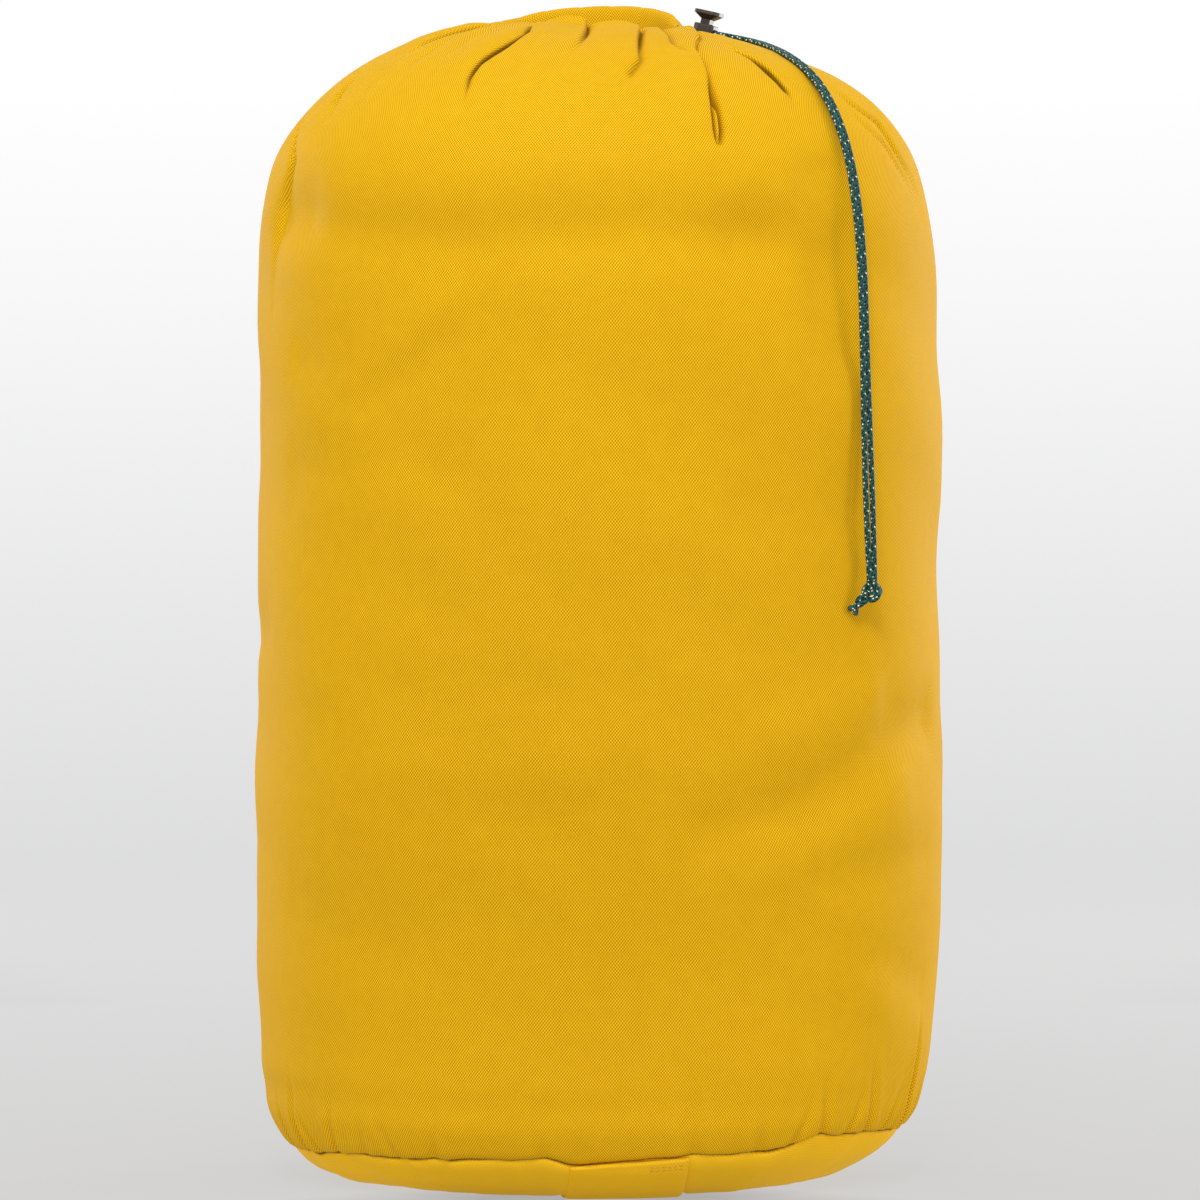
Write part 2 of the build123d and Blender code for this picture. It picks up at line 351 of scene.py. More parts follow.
# ------------------------------------------------------------------ cords
STRAND_FRONT = [(35.6, 0.4, 527.2), (50.7, -4.5, 524.4), (67.5, -10.0, 520.7), (76.7, -29.6, 515.7),
                (84.7, -55.6, 508.9), (94.3, -77.7, 498.3), (101.9, -93.9, 483.8), (108.0, -104.5, 465.1),
                (112.0, -110.3, 442.0), (114.6, -112.6, 412.0), (115.6, -113.3, 375.0), (116.2, -113.6, 334.9),
                (117.2, -113.3, 299.9), (118.7, -112.0, 272.6)]
STRAND_REAR = [(36.5, 3.2, 527.2), (51.6, -1.7, 524.4), (69.8, -7.9, 520.5), (79.3, -28.4, 515.3),
               (87.3, -54.4, 508.3), (96.7, -76.3, 497.7), (104.1, -92.1, 483.2), (110.0, -102.5, 464.9),
               (114.0, -108.3, 442.0), (116.6, -110.6, 412.0), (117.6, -111.1, 375.0), (119.0, -110.8, 335.1),
               (120.4, -109.9, 300.1), (120.9, -110.8, 272.6)]
CORD_D = 2.5 * MM


def nurbs_line(points, name, res=48):
    """The route's own smooth line, read from a NURBS spline with those points as its control points."""
    cu = bpy.data.curves.new(name, "CURVE")
    cu.dimensions = "3D"
    sp = cu.splines.new("NURBS")
    sp.points.add(len(points) - 1)
    for p, q in zip(sp.points, points):
        p.co = (*q, 1.0)
    sp.order_u = 3
    sp.use_endpoint_u = True
    sp.resolution_u = res
    ob = bpy.data.objects.new(name, cu)
    COLL.objects.link(ob)
    bpy.context.view_layer.update()
    me = bpy.data.meshes.new_from_object(ob)
    co = np.array([v.co[:] for v in me.vertices])
    bpy.data.objects.remove(ob)
    bpy.data.curves.remove(cu)
    bpy.data.meshes.remove(me)
    if np.linalg.norm(co[0] - np.array(points[0])) > np.linalg.norm(co[-1] - np.array(points[0])):
        co = co[::-1]
    return co


def resample(line, step):
    seg = np.linalg.norm(np.diff(line, axis=0), axis=1)
    keep = np.r_[True, seg > 1e-9]
    line = line[keep]
    s = np.r_[0, np.cumsum(np.linalg.norm(np.diff(line, axis=0), axis=1))]
    n = max(int(round(s[-1] / step)), 4)
    t = np.linspace(0, s[-1], n + 1)
    return np.stack([np.interp(t, s, line[:, k]) for k in range(3)], 1), t


def frames(line, up=(0, 0, 1)):
    """Rotation-minimising frames along a line."""
    tan = unit(np.gradient(line, axis=0))
    up = np.asarray(up, float)
    if abs(tan[0] @ up) > 0.95:
        up = np.array([0, 1.0, 0])
    n0 = unit(up - tan[0] * (tan[0] @ up))
    ns = [n0]
    for i in range(1, len(line)):
        n = ns[-1] - tan[i] * (ns[-1] @ tan[i])
        ns.append(unit(n))
    ns = np.array(ns)
    return tan, ns, np.cross(tan, ns)


def braid_tube(name, line, d, mat, n_round=32, step=0.30 * MM, relief=0.085 * MM, v0=0.0, closed_ends=True, radius=None, phase=0.0):
    pts, t = resample(line, step)
    tan, nn, bb = frames(pts)
    ang = np.arange(n_round) / n_round
    U = ang[None, :] + phase
    V = (t[:, None] + v0)
    turns = V / (8.6 * MM)
    a, b = (U + turns) * 8.0, (U - turns) * 8.0
    over = (np.floor(a) + np.floor(b)) % 2 > 0.5
    ridge = np.where(over, np.sin(np.pi * (a % 1)), np.sin(np.pi * (b % 1)))
    r = d / 2 - relief * 0.62 + relief * ridge
    if radius is not None:
        r = r * radius(t / t[-1])[:, None]
    cs, sn = np.cos(2 * np.pi * ang), np.sin(2 * np.pi * ang)
    P = pts[:, None, :] + r[..., None] * (cs[None, :, None] * nn[:, None, :] + sn[None, :, None] * bb[:, None, :])
    nr, nc = P.shape[:2]
    verts = P.reshape(-1, 3)
    faces = grid_faces(nr, nc, True)
    uu = np.stack([np.broadcast_to(ang[None, :], (nr, nc)) + phase, np.broadcast_to(V, (nr, nc))], -1)
    i = np.arange(nr - 1)[:, None]
    j = np.arange(nc)[None, :]
    j1 = (j + 1)
    ua = np.broadcast_to(j / n_round + phase, (nr - 1, nc))
    ub = np.broadcast_to(j1 / n_round + phase, (nr - 1, nc))
    va = np.broadcast_to(V[:-1], (nr - 1, nc))
    vb = np.broadcast_to(V[1:], (nr - 1, nc))
    uvs = np.stack([np.stack([ua, va], -1), np.stack([ub, va], -1), np.stack([ub, vb], -1), np.stack([ua, vb], -1)], 2).reshape(-1, 2)
    faces = [tuple(f) for f in faces]
    verts = [tuple(p) for p in verts]
    extra = []
    if closed_ends:
        for row, flip in ((0, True), (nr - 1, False)):
            c = len(verts)
            verts.append(tuple(pts[row] + (tan[row] * (0.25 * d if not flip else -0.05 * d))))
            for k in range(nc):
                k1 = (k + 1) % nc
                q, w = row * nc + k, row * nc + k1
                f = (w, q, c) if flip else (q, w, c)
                faces.append(f)
                extra.append(3)
        uvs = np.concatenate([uvs, np.tile(np.array([[0.02, 0.0]]), (sum(extra), 1))])
    ob = make_object(name, verts, faces, mat, uvs, "braid")
    return ob, pts


line_front = nurbs_line([tuple(c * MM for c in p) for p in STRAND_FRONT], "route_front")
line_rear = nurbs_line([tuple(c * MM for c in p) for p in STRAND_REAR], "route_rear")
cord_front, path_front = braid_tube("cord_front", line_front, CORD_D, mat_cord, phase=0.13)
cord_rear, path_rear = braid_tube("cord_rear", line_rear, CORD_D, mat_cord, phase=0.61, v0=0.0046)
len_front = float(np.linalg.norm(np.diff(path_front, axis=0), axis=1).sum())
len_rear = float(np.linalg.norm(np.diff(path_rear, axis=0), axis=1).sum())
print("cord lengths", len_front, len_rear)

# ------------------------------------------------------------------ knot with its two cut ends
# an overhand knot in both strands together: the pair goes in at the top, round once, through, and out below
KNOT = np.array([119.7, -112.3, 267.2])
knot_route = [(-0.2, 0.2, 5.4), (0.0, 0.1, 3.4), (1.5, -1.5, 1.4), (1.9, -2.6, -1.0), (-0.2, -2.5, -2.5), (-2.4, -0.9, -1.4),
              (-2.5, 1.2, 1.1), (-0.8, 1.8, 2.6), (1.8, 1.0, 2.2), (2.7, -0.4, 0.6), (1.3, 0.1, -1.0), (-1.2, -0.4, -1.4),
              (-3.6, -0.8, -2.6), (-6.0, -1.0, -4.6), (-7.4, -1.1, -5.8)]


def knot_strand(offset, tip):
    pts = np.array(knot_route, float)
    tan = unit(np.gradient(pts, axis=0))
    ref = unit(np.cross(tan, np.array([0.25, 1.0, 0.15])))
    pts = pts + ref * offset
    pts = np.vstack([pts[:-1], tip])
    return [tuple((KNOT + p) * MM) for p in pts]


k1 = nurbs_line(knot_strand(1.22, (-9.9, -1.3, -7.0)), "k1")
k2 = nurbs_line(knot_strand(-1.22, (-7.2, -0.9, -9.2)), "k2")


def start_at(strand_pts, knot_line):
    return knot_line


knot_a, _ = braid_tube("cord_knot", k1, CORD_D * 0.98, mat_cord, phase=0.3, step=0.22 * MM)
knot_b, _ = braid_tube("cord_knot_second", k2, CORD_D * 0.98, mat_cord, phase=0.8, step=0.22 * MM)


def blob(name, centre, direction, r, length, mat, seed=1):
    """Melted end: a short rounded cap."""
    rng = np.random.default_rng(seed)
    d = unit(np.array(direction))
    n = unit(np.cross(d, [0.3, 1, 0.2]))
    b = np.cross(d, n)
    prof = [(-0.9, 0.98), (-0.2, 1.05), (0.35, 0.99), (0.75, 0.74), (0.98, 0.36)]
    nc = 28
    ang = np.arange(nc) / nc * 2 * np.pi
    bump = 1 + 0.035 * np.cos(3 * ang + rng.uniform(0, 6)) + 0.03 * np.cos(5 * ang + rng.uniform(0, 6))
    P = []
    for h, q in prof:
        P.append(np.array(centre) + d * h * length + (r * q * bump)[:, None] * (np.cos(ang)[:, None] * n + np.sin(ang)[:, None] * b))
    P = np.array(P)
    verts = list(P.reshape(-1, 3))
    faces = [tuple(f) for f in grid_faces(len(prof), nc, True)]
    for row, flip, h in ((0, True, prof[0][0]), (len(prof) - 1, False, 1.02)):
        c = len(verts)
        verts.append(np.array(centre) + d * h * length)
        for k in range(nc):
            q, w = row * nc + k, row * nc + (k + 1) % nc
            faces.append((w, q, c) if flip else (q, w, c))
    return make_object(name, verts, faces, mat)


ends = []
for nm, ln, sd in (("cord_end_front", k1, 3), ("cord_end_rear", k2, 8)):
    ends.append(blob(nm, ln[-1], ln[-1] - ln[-3], CORD_D / 2 * 0.97, 0.9 * MM, mat_melt, sd))

# ------------------------------------------------------------------ the sack's outline
# rows: height z, centre shift cx, half width hw (mm), read over the whole outline from the floor to the shoulder
OUTLINE = np.array([
    (0.0, -6.0, 96.0), (0.6, -6.5, 103.0), (1.8, -7.5, 111.0), (4.0, -8.2, 118.5), (6.4, -8.4, 123.8), (11.0, -6.6, 131.0), (15.6, -5.25, 136.9),
    (24.8, -4.6, 144.0), (34.0, -3.5, 148.9), (43.2, -2.75, 150.9), (52.4, -2.5, 153.0), (61.6, -1.8, 154.1),
    (80.0, -1.15, 155.3), (103.0, -0.8, 156.2), (126.0, -0.45, 156.9), (172.0, -0.65, 157.5), (218.0, -0.7, 156.6),
    (264.0, -1.15, 155.7), (310.0, -0.25, 156.2), (356.0, 0.25, 156.2), (402.0, -0.7, 155.7), (425.0, -1.65, 155.2),
    (448.0, -2.5, 153.0), (457.0, -2.7, 151.4), (466.4, -2.7, 148.4)])


def pchip(x, y, xi):
    """Monotone cubic through the table, vectorised over xi."""
    x, y = np.asarray(x, float), np.asarray(y, float)
    h = np.diff(x)
    d = np.diff(y) / h
    m = np.zeros_like(y)
    for k in range(1, len(x) - 1):
        if d[k - 1] * d[k] > 0:
            w1, w2 = 2 * h[k] + h[k - 1], h[k] + 2 * h[k - 1]
            m[k] = (w1 + w2) / (w1 / d[k - 1] + w2 / d[k])
    m[0], m[-1] = d[0], d[-1]
    xi = np.clip(xi, x[0], x[-1])
    k = np.clip(np.searchsorted(x, xi) - 1, 0, len(h) - 1)
    t = (xi - x[k]) / h[k]
    return ((2 * t**3 - 3 * t**2 + 1) * y[k] + (t**3 - 2 * t**2 + t) * h[k] * m[k]
            + (-2 * t**3 + 3 * t**2) * y[k + 1] + (t**3 - t**2) * h[k] * m[k + 1])


def cyclic(table, th):
    """Smooth periodic interpolation over azimuth in degrees; table rows (deg, value)."""
    t = np.array(sorted((a % 360, v) for a, v in table), float)
    x = np.r_[t[-2:, 0] - 360, t[:, 0], t[:2, 0] + 360]
    y = np.r_[t[-2:, 1], t[:, 1], t[:2, 1]]
    q = np.asarray(th) % 360
    k = np.clip(np.searchsorted(x, q, side="right") - 1, 1, len(x) - 3)
    h = x[k + 1] - x[k]
    s = (q - x[k]) / h
    m0 = (y[k + 1] - y[k - 1]) / (x[k + 1] - x[k - 1]) * h
    m1 = (y[k + 2] - y[k]) / (x[k + 2] - x[k]) * h
    return (2 * s**3 - 3 * s**2 + 1) * y[k] + (s**3 - 2 * s**2 + s) * m0 + (-2 * s**3 + 3 * s**2) * y[k + 1] + (s**3 - s**2) * m1


def rho_side(z, th):
    """Radius of the outer skin below the shoulder; th in radians."""
    return pchip(OUTLINE[:, 0], OUTLINE[:, 2], z) + pchip(OUTLINE[:, 0], OUTLINE[:, 1], z) * np.cos(th)


# seam height round the base (deg, mm): near level at the back, a small dip where the strap starts, lifted at the front right
SEAM_Z = [(0, 23.2), (-10, 23.8), (-20, 24.6), (-28.7, 25.6), (-35.6, 25.7), (-42.9, 26.7), (-47.5, 27.2), (-52.6, 23.6), (-57, 21.6), (-63.9, 21.1),
          (-68.3, 21.0), (-74, 20.6), (-82.8, 19.3), (-90, 18.1), (-95.5, 17.1), (-97.8, 18.6), (-99.9, 20.0), (-103, 19.6), (-106, 19.0), (-111.3, 19.1),
          (-115.7, 18.4), (-121.7, 17.6), (-126, 17.8), (-133, 17.5), (-139, 17.3), (-148, 16.5), (-160.4, 14.8), (-172, 14.9),
          (176, 15.4), (160, 16.4), (140, 17.2), (122, 15.8), (105, 15.2), (90, 15.5), (72, 16.6), (55, 16.2), (36, 18.6), (16, 21.4)]
RIM_Z = [(-90, 524.8), (-78, 524.6), (-68, 524.0), (-57, 522.9), (-45, 522.2), (-32, 522.8), (-20, 524.6), (-8, 527.0), (0, 528.4), (15, 531.2), (30, 535.2),
         (60, 540.2), (90, 541.6), (120, 539.4), (150, 533.4), (180, 529.2), (205, 526.6), (225, 525.2), (238, 525.4), (250, 526.6), (261, 526.4), (266, 525.2)]
RIM_R = [(-90, 44.0), (-45, 42.0), (0, 37.5), (30, 38.5), (60, 42.0), (90, 44.5), (120, 46.5), (150, 49.0), (180, 51.0), (215, 50.0), (245, 46.0)]
# shoulder profiles (radius, height), from z = 466 to just outside the rim
SH = {
    "L": [(151.1, 466.4), (144.9, 475.6), (137.5, 484.8), (128.3, 494.0), (117.3, 503.2), (102.1, 512.4), (89.7, 518.8), (78.0, 523.2), (68.0, 526.0), (60.5, 527.3)],
    "F": [(148.4, 466.4), (142.4, 475.6), (135.0, 484.8), (125.3, 494.0), (113.0, 503.2), (96.0, 511.5), (84.0, 515.8), (74.0, 518.8), (65.0, 520.9), (57.0, 522.4)],
    "R": [(145.7, 466.4), (139.8, 475.6), (132.5, 484.8), (122.4, 494.0), (108.6, 503.2), (91.5, 510.8), (80.5, 515.2), (71.0, 518.2), (61.0, 520.8), (51.5, 523.4)],
    "B": [(148.4, 466.4), (142.4, 475.6), (135.0, 484.8), (125.3, 494.0), (113.0, 503.2), (96.0, 511.5), (84.0, 516.3), (74.0, 519.3), (65.0, 521.0), (57.5, 522.4)],
}

# ------------------------------------------------------------------ folds
# each fold: azimuth (deg) against distance out from the rim along the cloth (mm), depth, half width, step height (+ = higher on the anticlockwise side)
FOLDS = []


# the last argument paints shade on one wall of the fold; its sign picks the wall, 0 for none
def fold(az, dist, depth, width, step=None, reach=9.0, ink=0.0):
    FOLDS.append(dict(ink=ink, az=np.array(az, float), a=np.array(dist, float), depth=np.array(depth, float), width=np.array(width, float),
                      step=np.array(step if step is not None else [0.0] * len(az), float), reach=reach))


RIM_FOLDS = []   # azimuths where a fold runs into the rim, the edges of the rim's lobes


def rim_fold(az, dist, depth, width, step=None, reach=9.0, ink=0.0):
    RIM_FOLDS.append(az[0])
    fold(az, dist, depth, width, step, reach, ink)


rng = np.random.default_rng(41)
# front folds, left to right; on each one cloth laps over the other side
rim_fold([-124, -121, -117, -114.4, -114.5, -114.8, -115.2, -115.7, -116.3, -117.0, -117.0, -115.6, -115.2], [0, 12, 24, 35, 46, 54, 60, 66, 72, 79, 87, 101, 112],
         [1.4, 2.0, 3.0, 4.6, 7.0, 9.4, 10.4, 10.2, 8.0, 4.4, 2.4, 1.1, 0.0], [1.1, 1.1, 1.05, 1.0, 1.05, 1.2, 1.35, 1.4, 1.35, 1.3, 1.6, 2.6, 4.0],
         [0.5, 0.6, 0.8, 0.9, 1.0, 1.1, 1.1, 1.1, 1.0, 0.9, 0.7, 0.4, 0.0], 9.0, -1.0)
rim_fold([-96.5, -96.0, -95.0, -94.7, -95.3, -96.7, -98.0], [0, 8, 20, 34, 53, 65, 76], [3.6, 4.0, 4.2, 3.4, 1.4, 0.7, 0.0], [0.8, 0.8, 0.85, 0.95, 1.4, 2.6, 4.0],
         [-1.2, -1.5, -1.8, -1.4, -0.5, -0.2, 0.0], 7.0)
rim_fold([-66, -67.2, -71, -75, -77.8, -79.2, -80.2, -80.7, -83.4, -85.8], [0, 3, 15, 28, 42, 53, 62, 72.7, 84, 96],
         [4.0, 4.2, 4.6, 5.0, 4.8, 3.6, 2.6, 2.4, 2.4, 0.0], [0.9, 0.9, 0.95, 1.0, 1.05, 1.1, 1.2, 1.4, 1.7, 3.2],
         [-1.1, -1.3, -1.5, -1.7, -1.7, -1.5, -1.2, -1.1, -1.1, 0.0], 7.0)
rim_fold([-50, -57, -62, -66, -69.4, -68.5, -67.0], [0, 5, 18, 35, 50, 60, 70], [2.6, 2.6, 2.6, 2.6, 2.2, 1.2, 0.0], [1.2, 1.2, 1.3, 1.4, 1.5, 1.8, 2.4],
         [-1.2, -1.3, -1.4, -1.5, -1.1, -0.5, 0.0], 6.0)
rim_fold([-27, -32, -44, -55, -60.5, -64.1, -65.8, -67.1, -67.7, -67.9, -68.1], [0, 6, 20, 36, 47, 58, 76, 92, 99, 104, 108],
         [4.0, 3.4, 2.4, 2.4, 2.6, 2.8, 3.2, 3.8, 4.2, 2.0, 0.0], [1.3, 1.2, 1.1, 1.0, 0.95, 0.9, 0.85, 0.85, 0.85, 0.9, 1.0],
         [-1.4, -1.5, -1.6, -1.8, -1.9, -2.0, -2.0, -1.6, -1.0, -0.5, 0.0], 8.0)
# it ends in a narrow loop: two lips that part and close again
fold([-67.4, -67.8, -68.5, -69.1, -69.5, -69.5, -69.2], [88, 94, 103, 112, 120, 125, 129], [0.0, 3.4, 4.8, 4.8, 4.4, 3.6, 0.0],
     [0.8, 0.75, 0.7, 0.7, 0.75, 0.85, 1.1], [0.0, -0.8, -0.9, -0.8, -0.6, -0.3, 0.0], 6.0)
fold([-67.4, -67.4, -67.5, -67.8, -68.2, -68.7, -69.2], [88, 94, 103, 112, 120, 125, 129], [0.0, 2.4, 3.6, 4.0, 4.0, 3.6, 0.0],
     [0.8, 0.75, 0.7, 0.7, 0.75, 0.85, 1.1], [0.0, 0.2, 0.3, 0.3, 0.3, 0.2, 0.0], 6.0)
fold([-50.9, -50.5, -49.4, -49.6, -49.7, -49.5, -49.5, -49.6], [48, 57, 65, 73, 80, 88, 96, 106], [0.0, 1.8, 3.8, 5.4, 5.8, 3.8, 1.5, 0.0],
     [1.2, 1.05, 0.95, 0.95, 1.0, 1.15, 1.8, 3.2], [0.0, 0.2, 0.5, 0.8, 0.9, 0.6, 0.3, 0.0], 9.0, 1.15)
# fine folds on the right shoulder
fold([-34, -29.1, -23.1, -21.4, -16.7, -14.5], [84, 101, 110, 126, 140, 158], [0.0, 1.5, 1.9, 1.6, 1.2, 0.0], [1.5, 1.5, 1.6, 1.9, 2.4, 3.4], [0.0, 0.8, 1.0, 0.8, 0.5, 0.0])
fold([-33, -31.4, -26.1, -22.8, -18.3, -16.5], [100, 111, 121, 134, 147, 166], [0.0, 1.0, 1.3, 1.2, 0.9, 0.0], [1.6, 1.6, 1.8, 2.0, 2.4, 3.4], [0.0, 0.5, 0.6, 0.5, 0.3, 0.0])
fold([-12, -11, -9.5, -8, -7], [92, 112, 132, 150, 176], [0.0, 1.1, 1.5, 1.1, 0.0], [2.0, 2.0, 2.2, 2.6, 4.0], [0.0, -0.5, -0.7, -0.4, 0.0])
# left shoulder: an edge that runs over and down the side, and short creases in front of it
fold([-168, -161.6, -157.7, -158.5, -160, -161.2, -161.8, -162], [98, 114, 125, 133, 141, 151, 163, 205], [0.0, 1.2, 1.6, 1.6, 1.4, 1.1, 0.9, 0.0],
     [2.2, 1.9, 1.8, 1.8, 2.0, 2.4, 2.8, 5.0], [0.0, -0.8, -1.3, -1.3, -1.2, -1.0, -0.7, 0.0], 12.0)
fold([-157, -155.6, -155.1, -152.3, -150.5], [72, 81, 87, 95, 106], [0.0, 1.0, 1.4, 1.2, 0.0], [1.6, 1.6, 1.7, 2.0, 3.0], [0.0, -0.7, -0.9, -0.6, 0.0])
fold([-146, -143, -141], [52, 74, 100], [0.0, 1.1, 0.0], [2.2, 2.6, 4.0], [0.0, 0.5, 0.0])
fold([-99.0, -99.6, -100.8, -102.8, -104], [58, 75, 91, 105, 126], [0.0, 1.2, 1.3, 0.9, 0.0], [3.0, 3.0, 3.4, 4.6, 7.0])
fold([-90.5, -90.0, -90.8, -91.8], [60, 76, 96, 116], [0.0, 0.9, 0.7, 0.0], [3.4, 3.8, 4.6, 7.0])
fold([-108, -107, -106.5], [44, 66, 96], [0.6, 0.9, 0.0], [3.0, 4.0, 7.0])
fold([-132, -130, -129, -128], [14, 40, 66, 98], [0.8, 1.2, 0.9, 0.0], [2.4, 2.8, 3.8, 6.0], [0.5, 0.6, 0.3, 0.0])
fold([-86, -87, -88], [8, 24, 44], [0.9, 0.8, 0.0], [2.6, 3.2, 5.0])
fold([-73, -74, -75], [58, 74, 96], [0.5, 1.0, 0.0], [2.8, 3.4, 6.0])
# sides and back: the same kind of lapped folds, uneven in length and spacing
for az, ln, dp in ((9, 30, 4.6), (24, 66, 6.0), (43, 38, 5.0), (61, 84, 6.4), (82, 46, 5.2), (101, 96, 6.6), (122, 52, 5.4), (140, 88, 6.2),
                   (158, 48, 5.2), (176, 74, 6.2), (194, 56, 5.6), (211, 60, 5.4)):
    drift = rng.uniform(-10, 10)
    n = 7
    t = np.array([0, 0.12, 0.28, 0.45, 0.64, 0.82, 1.0])
    dep = dp * np.array([0.03, 0.55, 0.85, 0.60, 0.42, 0.28, 0.0]) * rng.uniform(0.85, 1.15, n)
    wid = np.array([1.0, 1.2, 1.25, 1.35, 1.7, 2.4, 4.2]) * rng.uniform(0.9, 1.15)
    st = np.array([0.08, 1.0, 1.6, 1.6, 1.2, 0.6, 0.0]) * rng.choice([-1, 1]) * rng.uniform(0.7, 1.25)
    rim_fold(list(az + drift * t**1.3 + rng.uniform(-0.7, 0.7, n)), list(ln * t), list(dep), list(wid), list(st), rng.uniform(6, 10))
for az in (17, 33, 52, 71, 92, 111, 131, 149, 167, 185, 203, 219):
    a0 = rng.uniform(8, 30)
    ln = rng.uniform(30, 82)
    dr = rng.uniform(-6, 6)
    fold([az, az + dr * 0.5, az + dr], [a0, a0 + ln * 0.4, a0 + ln], [rng.uniform(0.6, 1.6), rng.uniform(0.8, 1.6), 0.0], [2.0, rng.uniform(2.4, 4), 7.0],
         [0.3, rng.choice([-0.6, 0.6]), 0.0])
# close small pleats drawn up on the cord, away from the front; they start just outside the rim
az = -16.0
while az < 222:
    a0 = rng.uniform(5, 9)
    ln = rng.uniform(7, 24)
    dp = rng.uniform(0.7, 1.9)
    dr = rng.uniform(-3, 3)
    fold([az, az + dr * 0.3, az + dr * 0.6, az + dr], [a0, a0 + 4, a0 + ln * 0.5, a0 + ln], [0.0, dp, dp * 0.8, 0.0], [0.9, 0.9, 1.1, 2.2],
         [0.0, rng.choice([-0.5, 0.5]), 0.2, 0.0], 5.0)
    az += rng.uniform(4.6, 9.4)


# ------------------------------------------------------------------ columns and rows
def column_azimuths():
    th = np.radians(np.linspace(-200, 160, 7201)[:-1])
    deg = np.degrees(th)
    dens = 1.0 + 1.15 / (1 + np.exp(-(deg + 165) / 4)) * 1 / (1 + np.exp((deg + 8) / 4))
    for az in RIM_FOLDS:
        dd = (deg - az + 180) % 360 - 180
        dens += 0.9 * np.exp(-(dd / 2.2) ** 2)
    for az, w_, g_ in ((-115.5, 2.2, 3.0), (-68.4, 2.6, 3.2), (-96.0, 2.2, 1.0), (-80.0, 4.5, 0.8), (-51.0, 1.8, 3.6), (-19.6, 1.6, 1.0)):
        dd = (deg - az + 180) % 360 - 180
        dens += g_ * np.exp(-(dd / w_) ** 2)
    c = np.cumsum(dens)
    c = (c - c[0]) / c[-1]
    n = 640
    return np.interp((np.arange(n) + 0.5) / n, c, th)


TH = column_azimuths()
NC = len(TH)
DEG = np.degrees(TH)

sea = cyclic(SEAM_Z, DEG)
# short puckers in the seam line
for k, amp in ((17, 0.25), (29, 0.22), (43, 0.16), (61, 0.10)):
    sea = sea + amp * np.cos(k * TH + k * 1.7)
sea_r = rho_side(sea, TH)


def smooth_weights():
    c, s = np.cos(TH), np.sin(TH)
    return {"R": np.where(c > 0, c * c, 0), "L": np.where(c < 0, c * c, 0), "B": np.where(s > 0, s * s, 0), "F": np.where(s < 0, s * s, 0)}


W = smooth_weights()
ctrl = []
for j in range(10):
    rz = sum(W[k][:, None] * np.array(SH[k][j])[None, :] for k in SH)
    ctrl.append(rz)
rr, rz_ = cyclic(RIM_R, DEG), cyclic(RIM_Z, DEG)
z9, r9 = ctrl[-1][:, 1], ctrl[-1][:, 0]
dz = rz_ - z9
for f_r, dr, f_z in ((0.45, 0, 0.12), (0.22, 0, 0.45), (0.09, 0, 0.80)):
    ctrl.append(np.stack([rr + (r9 - rr) * f_r, z9 + dz * f_z], 1))
ctrl.append(np.stack([rr, rz_], 1))
for dr, dzz in ((-2.3, -0.6), (-4.0, -3.2), (-5.0, -8.0), (-5.8, -14.0), (-6.2, -20.5)):
    ctrl.append(np.stack([rr + dr, rz_ + dzz], 1))
J_RIM = 13
ctrl = np.array(ctrl)                      # [J, NC, 2]


def catmull(P, counts):
    """Rows through the control rows; counts[j] rows between row j and j+1."""
    J = len(P)
    ext = np.concatenate([2 * P[:1] - P[1:2], P, 2 * P[-1:] - P[-2:-1]])
    rows, tag = [], []
    for j in range(J - 1):
        p0, p1, p2, p3 = ext[j], ext[j + 1], ext[j + 2], ext[j + 3]
        # centripetal form, so that uneven spacing does not overshoot
        d1 = np.sqrt(np.linalg.norm(p1 - p0, axis=-1, keepdims=True)) + 1e-6
        d2 = np.sqrt(np.linalg.norm(p2 - p1, axis=-1, keepdims=True)) + 1e-6
        d3 = np.sqrt(np.linalg.norm(p3 - p2, axis=-1, keepdims=True)) + 1e-6
        m1 = ((p1 - p0) / d1 - (p2 - p0) / (d1 + d2) + (p2 - p1) / d2) * d2
        m2 = ((p2 - p1) / d2 - (p3 - p1) / (d2 + d3) + (p3 - p2) / d3) * d2
        for k in range(counts[j]):
            t = k / counts[j]
            rows.append((2 * t**3 - 3 * t**2 + 1) * p1 + (t**3 - 2 * t**2 + t) * m1 + (-2 * t**3 + 3 * t**2) * p2 + (t**3 - t**2) * m2)
            tag.append(j + t)
    rows.append(P[-1])
    tag.append(J - 1.0)
    return np.array(rows), np.array(tag)


counts = [6, 6, 6, 7, 8, 7, 6, 6, 6, 4, 4, 4, 3, 3, 3, 2, 2, 2]
top, tag = catmull(ctrl, counts)
# the barrel and the base corner
low_f = np.r_[0, 0.006, 0.013, np.linspace(0, 1, 21)[1:] ** 1.3]
low = [np.stack([np.nan * TH, sea + f * (62.0 - sea)], 1) for f in low_f[:-1]]
mid_z = np.r_[np.linspace(62, 400, 38)[:-1], np.linspace(400, 455, 14)[:-1], np.linspace(455, 466.4, 6)[:-1]]
mid = [np.stack([np.nan * TH, np.full(NC, z)], 1) for z in mid_z]
body_rows = low + mid
for q in body_rows:
    q[:, 0] = rho_side(q[:, 1], TH)
body_rows = np.array(body_rows)
RZ = np.concatenate([body_rows, top])     # [NR, NC, 2]
NB = len(body_rows)
NR = len(RZ)
# ease the barrel into the shoulder
ease = np.exp(-((RZ[:, :, 1].mean(1) - 466) / 20.0) ** 4)[:, None, None]
for _ in range(60):
    sm = RZ.copy()
    sm[1:-1] = 0.25 * RZ[:-2] + 0.5 * RZ[1:-1] + 0.25 * RZ[2:]
    RZ = RZ + (sm - RZ) * ease
rowtag = np.r_[np.full(NB, -1.0), tag]


def to_xyz(rz):
    return np.stack([rz[..., 0] * np.cos(TH), rz[..., 0] * np.sin(TH), rz[..., 1]], -1)


